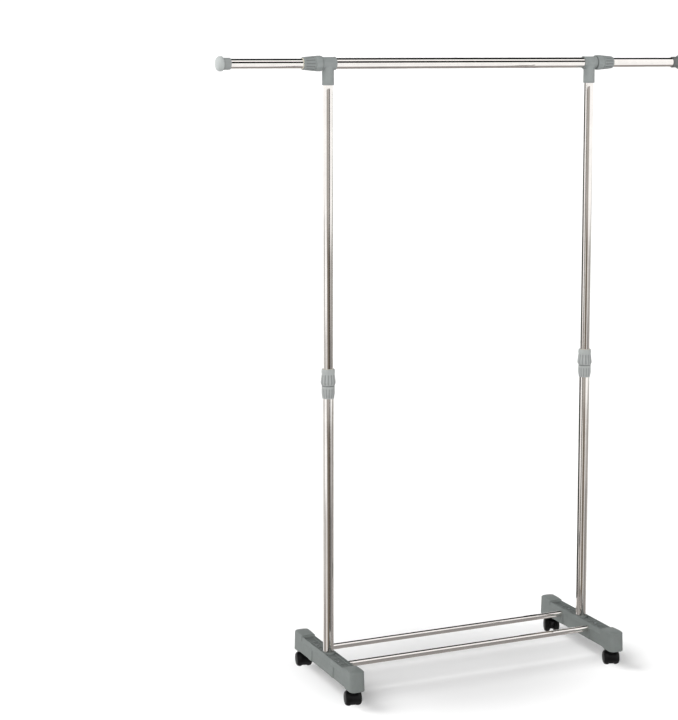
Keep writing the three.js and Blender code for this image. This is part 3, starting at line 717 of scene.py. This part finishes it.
def build_post_locks(sizes, colours):
    """On each lower post: the ribbed ferrule, the fluted twist nut above it and the collet inside."""
    grey, nylon = joint_finish(colours), insert_finish(colours)
    flutes, deep, rise = sizes.flutes, sizes.flute_depth / MM, sizes.bump_rise / MM
    rib_count, rib_deep = 14, 0.75
    seat, neck_long, high = 14.35, 20, 44.0

    def ribs(angle, radius, height):
        """Upright ribs on the ferrule's outside, between its tapered foot and its upper ring."""
        part = step(height + 30.5, 3) * step(-7.2 - height, 1.2) * step(radius - 14.9, 0.3)
        return radius - rib_deep * part * (0.5 + 0.5 * np.cos(rib_count * angle)) ** 2

    ferrule = soft_line([
        (seat, -33, 0.3), (15.3, -33, 0.5), (17.2, -20, 5), (17.25, -7, 0.5), (16.6, -6.3, 0.4),
        (17.2, -5.5, 0.5), (16.7, -0.1, 0.8), (14.5, 0, 0.2), (14.5, neck_long, 0.5),
        (12.95, neck_long, 0.3), (12.95, -2.7, 0), (seat, -2.7, 0)], closed=True)
    ferrule = ring_shell(dense(ferrule, 0.9, True), 180, ribs)

    def grip(angle, radius, height):
        """Scalloped flutes over the belly, and a row of raised marks round the upper band."""
        outside = step(radius - 15.4, 0.4)
        belly = step(height - 4.5, 4) * step(28.5 - height, 3.5)
        window = step(height - 34.2, 1.2) * step(41 - height, 1.2)
        mark = step(np.cos(flutes * angle) - 0.1, 0.5)
        return radius + outside * (rise * window * mark - deep * belly * flute_wave(flutes, angle))

    nut = soft_line([
        (15.0, SEAM_GAP, 0.3), (16.6, SEAM_GAP, 0.6), (19.4, 6.5, 3), (19.55, 10, 4), (17.2, 29, 6),
        (16.7, 31, 0.6), (17.1, 32.2, 0.6), (16.7, high, 0.9), (14.05, high, 0.4),
        (15.0, neck_long, 1)], closed=True)
    nut = ring_shell(dense(nut, 0.7, True), 264, grip)
    collet = collet_shell(high - neck_long)
    for side, way in SIDES:
        at = (way * POST_X, 0, SEAM_Z)
        # The ferrule's rib grooves and the nut's flutes and seam get painted shade
        make_piece(f"{side}_ribbed_ferrule", [set_in(ferrule, UP, at)], grey, "base",
                   [f"{side}_post_ferrule"], 40, groove_painted_shade(rib_count, -31, -7))
        make_piece(f"{side}_post_twist_nut", [set_in(nut, UP, at)], grey, f"{side}_post_nut_body",
                   [f"{side}_post_nut"], 40, groove_painted_shade(flutes, 3, 30))
        collet_at = (at[0], 0, SEAM_Z + neck_long + SEAM_GAP)
        make_piece(f"{side}_post_split_collet", [set_in(collet, UP, collet_at)], nylon,
                   "base", [f"{side}_post_collet"])


def build_arm_locks(sizes, colours):
    """The twist nut at the outer end of each tee, and the split collet that shows at its tip."""
    grey, nylon = tee_finish(colours), insert_finish(colours)
    flutes, deep, rise = sizes.flutes, sizes.flute_depth / MM, sizes.bump_rise / MM
    long = 51.5

    def grip(angle, radius, height):
        """A row of raised marks round the wide band, and flutes down the taper."""
        outside = step(radius - 15.8, 0.3)
        window = step(height - 3.8, 1.4) * step(14.6 - height, 1.4)
        mark = step(np.cos(flutes * angle) - 0.05, 0.5)
        taper = step(height - 25, 4) * step(46.5 - height, 4)
        wave = flute_wave(flutes, angle)
        return radius + outside * (rise * window * mark - 0.8 * deep * taper * wave)

    nut = soft_line([
        (15.0, 0, 0.3), (19.3, 0, 1.2), (19.35, 18, 1.2), (17.4, 19.4, 0.6), (17.4, 20.6, 0.5),
        (18.9, 21.6, 0.9), (17.6, 36, 20), (16.0, long, 1.2), (14.05, long, 0.4), (15.0, 26.7, 1)],
        closed=True)
    nut = ring_shell(dense(nut, 0.7, True), 264, grip)
    start, tip_proud = TEE_END + NECK_LONG + SEAM_GAP, 2
    collet = collet_shell(TEE_END + long + tip_proud - start)
    for side, way in SIDES:
        x = way * (POST_X + TEE_END + SEAM_GAP)
        # The arm nut's flutes and seam get painted shade
        make_piece(f"{side}_arm_twist_nut", [set_in(nut, OUTWARD[side], (x, 0, RAIL_Z))], grey,
                   f"{side}_arm_nut_body", [f"{side}_arm_nut"], 40,
                   groove_painted_shade(flutes, 23, 47))
        make_piece(f"{side}_arm_split_collet",
                   [set_in(collet, OUTWARD[side], (way * (POST_X + start), 0, RAIL_Z))], nylon,
                   "upper_frame", [f"{side}_arm_collet"])


# ---------------------------------------------------------------- end caps
def build_end_caps(sizes, colours):
    """A sleeve and a domed flange on the outer end of each arm: a line turned about the arm.

    The sleeve counts as hollow, so it is drawn darker than the flange."""
    # Painted light: one cap moulding in two greys, paler on the left for its light and darker on the
    # right for its shade
    lit_and_shaded_cap_tones = {"left": ("pale", colours.cap_left), "right": ("mid", colours.cap_right)}
    cap_long = 35
    line = soft_line([
        (0, 31, 0), (12.85, 31, 0.3), (12.85, 0, 0.3), (14.95, 0, 0.8), (15.0, 17.4, 0.5),
        (14.5, 18, 0.3), (15, 18.6, 0.3), (15, 20, 0.8), (18.9, 20.4, 2.6), (18.95, 29, 4.5),
        (15.4, 33.8, 5), (9, 34.9, 12), (0, cap_long, 0)], 8)
    cap = shell(turned(line, 128))
    for side, way in SIDES:
        low, high = box_mm(f"{side}_end_cap")
        x = high[0] - cap_long if way > 0 else low[0] + cap_long
        tone, colour = lit_and_shaded_cap_tones[side]
        finish = moulded_plastic(f"abs_moulded_cap_painted_light_{tone}_grey", tuple(colour), (0.3, 0.4))
        make_piece(f"{side}_domed_end_cap", [set_in(cap, OUTWARD[side], (x, 0, RAIL_Z))], finish,
                   f"{side}_arm_body", [f"{side}_end_cap"],
                   hollow=lambda own: step(19.5 - own[:, 2], 1.0))


# ---------------------------------------------------------------- casters
def hood_shells(axle_x, axle_z):
    """A caster's hood: a fender swept round the axle, a web between the wheels and a collar on top.

    The fender's section is a loop of (w, r), its outside r = 23.2 - 1.3 (w / 14)^4, carried round the
    axle from 35 to 212 degrees: (axle_x + r cos b, w, axle_z + r sin b). Over the first and last part
    of its sweep it thins to a round edge. The web is a plate between two arcs about the axle."""
    half, inner, outer, fall = 14.0, 21.2, 23.2, 1.3
    middle_r, web_r, web_low_r, collar_top = (inner + outer) / 2, 21.6, 12, 42.6
    w_out = np.linspace(-half, half, 33)
    r_out = outer - fall * (np.abs(w_out) / half) ** 4
    r_out[[0, -1]] -= 0.15
    w_in = np.linspace(half - 0.3, -half + 0.3, 17)
    width = np.concatenate([w_out, w_in])
    radius = np.concatenate([r_out, np.full(17, inner)])
    begin, end, tip = math.radians(35), math.radians(212), 0.045
    thin = np.maximum(np.sqrt(1 - np.linspace(1, 0, 6)[:-1] ** 2), 0.1)
    sweep = np.concatenate([
        begin + tip * np.linspace(0, 1, 6)[:-1], np.linspace(begin + tip, end - tip, 70),
        end - tip * np.linspace(1, 0, 6)[1:]])
    scale = np.concatenate([thin, np.ones(70), thin[::-1]])
    around = middle_r + (radius[:, None] - middle_r) * scale
    across = width[:, None] * (1 - 0.05 * (1 - scale))
    fender = np.stack([axle_x + around * np.cos(sweep), across + 0 * around,
                       axle_z + around * np.sin(sweep)], axis=-1)
    upper = np.linspace(begin, end - 0.25, 60)
    lower = (upper + math.pi)[5:-5]
    web = np.vstack([np.column_stack([r * np.cos(angle), r * np.sin(angle)])
                     for r, angle in ((web_r, upper), (web_low_r, lower))])
    sections = []
    for inset, w in ((0.5, -4.6), (0.0, -4.1), (0.0, 4.1), (0.5, 4.6)):
        size = 1 - inset / 20
        sections.append(np.column_stack([axle_x + web[:, 0] * size, np.full(len(web), w),
                                         axle_z + web[:, 1] * size]))
    collar = soft_line([(3.4, axle_z + 8, 0), (8.2, axle_z + 8, 0), (8.2, collar_top, 0.9),
                        (3.4, collar_top, 0.4)], closed=True)
    plates = [shell(grid, loop_rows=True, loop_cols=False, capped=True)
              for grid in (fender, np.stack(sections, axis=1))]
    return plates + [ring_shell(collar, 64)]


def wheel_shell(tyre_r):
    """A caster wheel about Z, growing outwards from the caster's middle: an inner side that slopes back
    to the tread, a domed face and two turned grooves, height less 0.45 exp(-((r - groove) / 0.45)^2)."""
    line = dense(soft_line([
        (0, 16, 0), (2.3, 16, 0), (2.3, 5, 0.2), (tyre_r - 4.5, 5, 1.5), (tyre_r - 1, 7.6, 2),
        (tyre_r, 9.6, 1.2), (tyre_r, 14, 1.2), (tyre_r - 1.6, 18.3, 2.5), (15.5, 20.8, 5),
        (8, 22, 12), (0, 22, 0)], 8), 0.35)
    face, groove_size = line[:, 1] > 16.5, 0.45
    for groove in (16.2, 7.0):
        sunk = groove_size * np.exp(-((line[:, 0] - groove) / groove_size) ** 2)
        line[:, 1] -= np.where(face, sunk, 0)
    return shell(turned(line, 96))


def build_casters(sizes, colours):
    """Four swivelling twin-wheel casters with their stems."""
    hood_black, wheel_black = caster_finish(colours), wheel_finish(colours)
    zinc = zinc_plated_steel(tuple(colours.zinc))
    # A wheel's own z points to one side of its hood or to the other
    across = {1: np.array([[1, 0, 0], [0, 0, 1], [0, -1, 0]], float),
              2: np.array([[1, 0, 0], [0, 0, -1], [0, 1, 0]], float)}
    tread_gap, flange_low, clear = 0.02, 43.6, 0.3
    for end, _ in ENDS:
        for side, _ in SIDES:
            name = f"{end}_{side}_caster"
            swivel = middle(f"{name}_stem")
            axle = middle(f"{name}_axle")
            trail = axle[:2] - swivel[:2]
            reach = float(np.linalg.norm(trail))
            axes = about_z(math.degrees(math.atan2(trail[1], trail[0])))
            axle_z = axle[2]
            tyre_r = axle_z - tread_gap
            at = (swivel[0], swivel[1], 0)
            hood = [set_in(shape, axes, at) for shape in hood_shells(reach, axle_z)]
            pieces = [make_piece(
                f"{name}_hood_moulding", hood, hood_black, f"{end}_{side}_caster_swivel",
                [f"{name}_hood"], 40)]
            for which in (1, 2):
                wheel = set_in(wheel_shell(tyre_r), axes @ across[which],
                               np.array(at) + axes @ np.array((reach, 0, axle_z)))
                pieces.append(make_piece(
                    f"{name}_wheel_{which}_disc", [wheel], wheel_black,
                    f"{end}_{side}_caster_wheel_{which}_body", [f"{name}_wheel_{which}"]))
            # Light from a white floor and its far surround fills in under each caster
            for piece in pieces:
                piece.visible_shadow = False
                piece.visible_diffuse = False
            low, high = box_mm(f"{name}_stem")
            top = FOOT_LOW[2] - clear
            stem = soft_line([
                (0, low[2], 0), (3, low[2], 0.5), (3, flange_low, 0.1), (7, flange_low, 0.3),
                (7, top, 0.3), (5.4, top, 0.2), (5.4, high[2], 0.9), (0, high[2], 0)])
            make_piece(f"{name}_stem_pin", [set_in(shell(turned(stem, 48)), UP, at)], zinc, "base",
                       [f"{name}_stem"])


# ---------------------------------------------------------------- fasteners and hidden inserts
def pan_screw(head_r, head_h, shank_r, long):
    """A pan-head screw hanging from z = 0, its cross recess sunk where |x| or |y| is small."""
    line = dense(soft_line([
        (0, 0, 0), (head_r * 0.6, -0.1, 3), (head_r, -head_h * 0.55, 0.9), (head_r, -head_h, 0.2),
        (shank_r, -head_h, 0.1), (shank_r, -long + 1, 0.5), (0, -long, 0)]), 0.12)
    grid = turned(line, 96)
    x, y, z = grid[..., 0], grid[..., 1], grid[..., 2]
    arm = head_r * 0.13
    cross = np.maximum(step(arm - np.abs(x), 0.25), step(arm - np.abs(y), 0.25))
    grid[..., 2] = z - 0.9 * cross * step(head_r * 0.62 - np.hypot(x, y), 0.3) * step(z + 0.7, 0.2)
    return shell(grid)


def build_fasteners(sizes, colours):
    """The screws in the feet, and finishes for the CAD pieces that stay: bushes, plugs and axles."""
    zinc = zinc_plated_steel(tuple(colours.zinc))
    nylon = insert_finish(colours)
    head = pan_screw(3.2, 2.2, 1.5, 11.0)
    for end, _ in ENDS:
        for side, _ in SIDES:
            node = f"{end}_{side}_rail_screw"
            at = (*middle(node)[:2], box_mm(node)[1][2])
            make_piece(f"{node}_pan_head", [set_in(head, UP, at)], zinc, "base", [node])
    post_screw = pan_screw(5.5, 3.6, 3.0, 18.0)
    upside = np.diag([1.0, -1.0, -1.0])
    for side, way in SIDES:
        node = f"{side}_post_screw"
        at = (way * POST_X, 0, box_mm(node)[0][2])
        make_piece(f"{node}_pan_head", [set_in(post_screw, upside, at)], zinc, "base", [node])
    for name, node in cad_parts.items():
        if name.endswith(("_bush", "_plug", "_axle")):
            node.data.materials.clear()
            node.data.materials.append(zinc if name.endswith("_axle") else nylon)


# ---------------------------------------------------------------- studio
# Camera place in metres, angles in radians, lens in millimetres on a sensor 36 mm wide
CAMERA_PLACE = Vector((-2.208, -4.215, 1.672))
CAMERA_YAW = 0.4143
CAMERA_PITCH = 0.1118
LENS = 90.1
SHIFT_Y = -0.153


def flat_sheet(name, corners, material):
    """A four-cornered sheet with its material, put into the scene."""
    mesh = bpy.data.meshes.new(name)
    mesh.from_pydata([tuple(corner) for corner in corners], [], [(0, 1, 2, 3)])
    mesh.materials.append(material)
    sheet = bpy.data.objects.new(name, mesh)
    bpy.context.scene.collection.objects.link(sheet)
    return sheet


def add_card(name, centre, along, up, width, height, glow):
    """A flat card that only mirrors see: it draws a dark, grey or white line in polished tubes."""
    centre, along, up = (np.array(v, float) for v in (centre, along, up))
    along, up = along / np.linalg.norm(along) * width / 2, up / np.linalg.norm(up) * height / 2
    corners = [centre - along - up, centre + along - up, centre + along + up, centre - along + up]
    tree, material = new_material(name + "_glow")
    light = add(tree, "ShaderNodeEmission", {"Color": glow + (1.0,)})
    add(tree, "ShaderNodeOutputMaterial", None, {"Surface": light.outputs["Emission"]})
    card = flat_sheet(name, corners, material)
    card.visible_camera = card.visible_diffuse = card.visible_shadow = False
    card.visible_transmission = card.visible_volume_scatter = False


def add_soft_shade(centre, reach, height, least):
    """A clear film low over the floor that dims light softly: the share let through is a smooth step
    of the elliptic distance from the centre, from least inside 0.3 of the reach to all at the reach."""
    x, y = reach
    tree, material = new_material("floor_shade_film")
    place = add(tree, "ShaderNodeTexCoord").outputs["Object"]
    across = add(tree, "ShaderNodeVectorMath", {1: (1 / x, 1 / y, 0)}, {0: place},
                 operation="MULTIPLY")
    away = add(tree, "ShaderNodeVectorMath", None, {0: across.outputs[0]}, operation="LENGTH")
    through = add(tree, "ShaderNodeMapRange", {
        "From Min": 0.3, "From Max": 1.0, "To Min": least, "To Max": 1.0},
        {"Value": away.outputs["Value"]}, interpolation_type="SMOOTHSTEP")
    film = add(tree, "ShaderNodeBsdfTransparent", None, {"Color": through.outputs[0]})
    add(tree, "ShaderNodeOutputMaterial", None, {"Surface": film.outputs[0]})
    corners = [(-x, -y, 0), (x, -y, 0), (x, y, 0), (-x, y, 0)]
    shade_film = flat_sheet("floor_shade_film", corners, material)
    shade_film.location = (*centre, height)
    shade_film.visible_camera = shade_film.visible_glossy = False


def studio_world():
    """A white surround with windows of grey and warm grey, most of them low, and a dark one overhead, so
    that polished tubes show soft bands. A window is a product of smooth steps: of the angle that a
    direction has turned from the camera's side or tilted from the front, and of its height."""
    world = bpy.data.worlds.new("soft_studio")
    world.use_nodes = True
    bpy.context.scene.world = world
    tree = world.node_tree
    tree.nodes.clear()
    way = add(tree, "ShaderNodeTexCoord").outputs["Generated"]
    facing = (-math.sin(CAMERA_YAW), -math.cos(CAMERA_YAW), 0.0)
    right = (math.cos(CAMERA_YAW), -math.sin(CAMERA_YAW), 0.0)
    toward = add(tree, "ShaderNodeVectorMath", {1: facing}, {0: way}, operation="DOT_PRODUCT")
    beside = add(tree, "ShaderNodeVectorMath", {1: right}, {0: way}, operation="DOT_PRODUCT")
    parts = add(tree, "ShaderNodeSeparateXYZ", None, {0: way})
    front = add(tree, "ShaderNodeMath", {1: -1.0}, {0: parts.outputs["Y"]}, operation="MULTIPLY")
    turn = add(tree, "ShaderNodeMath", None,
               {0: beside.outputs["Value"], 1: toward.outputs["Value"]},
               operation="ARCTAN2").outputs["Value"]
    tilt = add(tree, "ShaderNodeMath", None, {0: parts.outputs["Z"], 1: front.outputs["Value"]},
               operation="ARCTAN2").outputs["Value"]
    height, height_blur = parts.outputs["Z"], 0.03
    white = (1.0, 1.0, 1.0, 1.0)
    # Angle read, where the window starts and ends, its blur, its colour, and its range of height
    windows = (
        (turn, -32, 24, 10, (0.38, 0.36, 0.34, 1), (-0.13, 0.35)),
        (turn, -22, 30, 9, (0.17, 0.145, 0.12, 1), (-0.60, -0.10)),
        (turn, 122, 185, 12, (0.42, 0.40, 0.38, 1), (-0.60, -0.05)),
        (turn, 42, 84, 9, (0.48, 0.46, 0.45, 1), (-0.62, -0.12)),
        (turn, 84, 114, 9, (0.25, 0.24, 0.23, 1), (-0.62, -0.10)),
        (turn, -116, -86, 9, (0.36, 0.35, 0.34, 1), (-0.62, -0.08)),
        (turn, 42, 84, 9, (0.26, 0.25, 0.245, 1), (-0.62, -0.225)),
        (turn, -78, -38, 9, (0.48, 0.46, 0.44, 1), (-0.62, -0.225)),
        (tilt, 80, 152, 5, (0.01, 0.01, 0.01, 1), (0.18, 1.0)),
        (tilt, -140, -72, 14, (0.30, 0.28, 0.27, 1), (-1.0, -0.35)),
    )
    colour = None
    for read, start, end, blur, tone, (low, high) in windows:
        edges = [
            add(tree, "ShaderNodeMapRange", {"From Min": outside, "From Max": inside},
                {"Value": value}, interpolation_type="SMOOTHSTEP").outputs[0]
            for value, outside, inside in (
                (read, math.radians(start - blur / 2), math.radians(start + blur / 2)),
                (read, math.radians(end + blur / 2), math.radians(end - blur / 2)),
                (height, low - height_blur, low + height_blur),
                (height, high + height_blur, high - height_blur))]
        while len(edges) > 1:
            edges = [add(tree, "ShaderNodeMath", None, {0: first, 1: second},
                         operation="MULTIPLY").outputs[0]
                     for first, second in zip(edges[::2], edges[1::2])]
        mix = add(tree, "ShaderNodeMix", {7: tone}, {0: edges[0]}, data_type="RGBA")
        if colour is None:
            mix.inputs[6].default_value = white
        else:
            tree.links.new(colour, mix.inputs[6])
        colour = mix.outputs[2]
    background = add(tree, "ShaderNodeBackground", {"Strength": 1.1}, {"Color": colour})
    add(tree, "ShaderNodeOutputWorld", None, {"Surface": background.outputs["Background"]})


def build_stage(colours):
    """A pale floor, soft light, the cards and the camera."""
    scene = bpy.context.scene
    scene.view_settings.view_transform = "Standard"
    studio_world()

    size = 400.0
    tree, material = new_material("matt_painted_floor")
    surface = add(tree, "ShaderNodeBsdfPrincipled", {
        "Base Color": tuple(colours.floor) + (1.0,), "Roughness": 0.9, "Specular IOR Level": 0.1})
    add(tree, "ShaderNodeOutputMaterial", None, {"Surface": surface.outputs["BSDF"]})
    corners = [(-size, -size, 0), (size, -size, 0), (size, size, 0), (-size, size, 0)]
    floor = flat_sheet("studio_floor", corners, material)
    floor.visible_glossy = False

    for name, place, spread, strength in (
        ("key_light", (-2.2, 1.4, 2.9), 40, 2.0),
        ("front_light", (-2.4, -2.2, 2.2), 45, 1.2),
    ):
        data = bpy.data.lights.new(name, "SUN")
        data.angle = math.radians(spread)
        data.energy = strength
        lamp = bpy.data.objects.new(name, data)
        lamp.rotation_mode = "QUATERNION"
        lamp.rotation_quaternion = (-Vector(place)).to_track_quat("-Z", "Y")
        lamp.visible_glossy = False
        scene.collection.objects.link(lamp)

    add_soft_shade((0.0, 0.0), (0.58, 0.48), 0.006, 0.72)

    post, rail, up = POST_X * MM, RAIL_Z * MM, (0, 0, 1)
    black, dark_grey, grey, white = (
        (0.02, 0.018, 0.016), (0.22, 0.20, 0.18), (0.30, 0.29, 0.285), (1.05, 1.05, 1.05))

    # Upright cards, each turned from the camera's side about its post
    stand_off, card_middle, card_high = 0.15, 0.84, 1.5
    for name, x, degrees, width, glow in (
        ("left_line_card", -post, 36, 0.05, black),
        ("right_edge_card", post, -108, 0.14, black),
        ("right_middle_card", post, -36, 0.06, dark_grey),
    ):
        toward = np.array([CAMERA_PLACE.x - x, CAMERA_PLACE.y, 0])
        toward = about_z(degrees) @ (toward / np.linalg.norm(toward))
        place = np.array([x, 0, card_middle]) + toward * stand_off
        add_card(name, place, (-toward[1], toward[0], 0), up, width, card_high, glow)

    # Level cards: before and above the top rail, close under its front, and before each lower rail
    level, lean_back, lean_out = (1, 0, 0), (0, 0.454, 0.891), (0, -0.454, 0.891)
    add_card("rail_line_card", (-0.11, -0.178, rail + 0.091), level, lean_back, 1.34, 0.13, black)
    add_card("rail_fill_card", (0.03, -0.058, rail - 0.030), level, lean_out, 1.5, 0.068, white)
    for end, way in ENDS:
        place = (0, way * SHOE_Y * MM - 0.045, 0.0325)
        add_card(f"{end}_rail_shade_card", place, level, up, 0.70, 0.145, grey)

    view = bpy.data.cameras.new("studio_camera")
    view.lens = LENS
    view.sensor_width = 36.0
    view.shift_y = SHIFT_Y
    view.clip_end = 1000.0
    camera = bpy.data.objects.new("studio_camera", view)
    camera.location = CAMERA_PLACE
    ahead = Vector((math.sin(CAMERA_YAW) * math.cos(CAMERA_PITCH),
                    math.cos(CAMERA_YAW) * math.cos(CAMERA_PITCH), -math.sin(CAMERA_PITCH)))
    camera.rotation_mode = "QUATERNION"
    camera.rotation_quaternion = ahead.to_track_quat("-Z", "Y")
    scene.collection.objects.link(camera)
    scene.camera = camera


# ---------------------------------------------------------------- operators
class RACK_OT_stage(bpy.types.Operator):
    """Make the floor, the light, the cards and the camera"""

    bl_idname = "rack.stage"
    bl_label = "Studio"

    def execute(self, context):
        build_stage(context.scene.rack_colours)
        return {"FINISHED"}


class RACK_OT_tubes(bpy.types.Operator):
    """Make the posts, the top rail, the arms and the lower rails"""

    bl_idname = "rack.tubes"
    bl_label = "Tubes"

    def execute(self, context):
        build_tubes(context.scene.rack_sizes, context.scene.rack_colours)
        return {"FINISHED"}


class RACK_OT_feet(bpy.types.Operator):
    """Make the two moulded feet"""

    bl_idname = "rack.feet"
    bl_label = "Feet"

    def execute(self, context):
        build_feet(context.scene.rack_sizes, context.scene.rack_colours)
        return {"FINISHED"}


class RACK_OT_connectors(bpy.types.Operator):
    """Make the tee connectors at the heads of the posts"""

    bl_idname = "rack.connectors"
    bl_label = "Connectors"

    def execute(self, context):
        build_connectors(context.scene.rack_sizes, context.scene.rack_colours)
        return {"FINISHED"}


class RACK_OT_post_locks(bpy.types.Operator):
    """Make the ferrules, twist nuts and collets on the posts"""

    bl_idname = "rack.post_locks"
    bl_label = "Post locks"

    def execute(self, context):
        build_post_locks(context.scene.rack_sizes, context.scene.rack_colours)
        return {"FINISHED"}


class RACK_OT_arm_locks(bpy.types.Operator):
    """Make the twist nuts and collets on the arms"""

    bl_idname = "rack.arm_locks"
    bl_label = "Arm locks"

    def execute(self, context):
        build_arm_locks(context.scene.rack_sizes, context.scene.rack_colours)
        return {"FINISHED"}


class RACK_OT_end_caps(bpy.types.Operator):
    """Make the domed caps on the arms"""

    bl_idname = "rack.end_caps"
    bl_label = "End caps"

    def execute(self, context):
        build_end_caps(context.scene.rack_sizes, context.scene.rack_colours)
        return {"FINISHED"}


class RACK_OT_casters(bpy.types.Operator):
    """Make the four twin-wheel casters"""

    bl_idname = "rack.casters"
    bl_label = "Casters"

    def execute(self, context):
        build_casters(context.scene.rack_sizes, context.scene.rack_colours)
        return {"FINISHED"}


class RACK_OT_fasteners(bpy.types.Operator):
    """Make the screws and give the hidden inserts their finish"""

    bl_idname = "rack.fasteners"
    bl_label = "Fasteners and inserts"

    def execute(self, context):
        build_fasteners(context.scene.rack_sizes, context.scene.rack_colours)
        return {"FINISHED"}


OPERATORS = (
    RACK_OT_stage, RACK_OT_tubes, RACK_OT_feet, RACK_OT_connectors, RACK_OT_post_locks,
    RACK_OT_arm_locks, RACK_OT_end_caps, RACK_OT_casters, RACK_OT_fasteners,
)


class RACK_PT_panel(bpy.types.Panel):
    """Lists the rack's sizes, colours and pieces in the sidebar."""

    bl_label = "Rolling Clothes Rack"
    bl_idname = "RACK_PT_panel"
    bl_space_type = "VIEW_3D"
    bl_region_type = "UI"
    bl_category = "Rack"

    def draw(self, context):
        for group in (context.scene.rack_sizes, context.scene.rack_colours):
            column = self.layout.column(align=True)
            for name in group.__annotations__:
                column.prop(group, name)
        column = self.layout.column(align=True)
        for operator in OPERATORS:
            column.operator(operator.bl_idname)


CLASSES = (RackSizes, RackColours) + OPERATORS + (RACK_PT_panel,)


def register():
    for item in CLASSES:
        bpy.utils.register_class(item)
    bpy.types.Scene.rack_sizes = bpy.props.PointerProperty(type=RackSizes)
    bpy.types.Scene.rack_colours = bpy.props.PointerProperty(type=RackColours)


def unregister():
    del bpy.types.Scene.rack_colours
    del bpy.types.Scene.rack_sizes
    for item in reversed(CLASSES):
        bpy.utils.unregister_class(item)


def main():
    register()
    bpy.ops.rack.stage()
    bpy.ops.rack.tubes()
    bpy.ops.rack.feet()
    bpy.ops.rack.connectors()
    bpy.ops.rack.post_locks()
    bpy.ops.rack.arm_locks()
    bpy.ops.rack.end_caps()
    bpy.ops.rack.casters()
    bpy.ops.rack.fasteners()


if __name__ == "__main__":
    main()
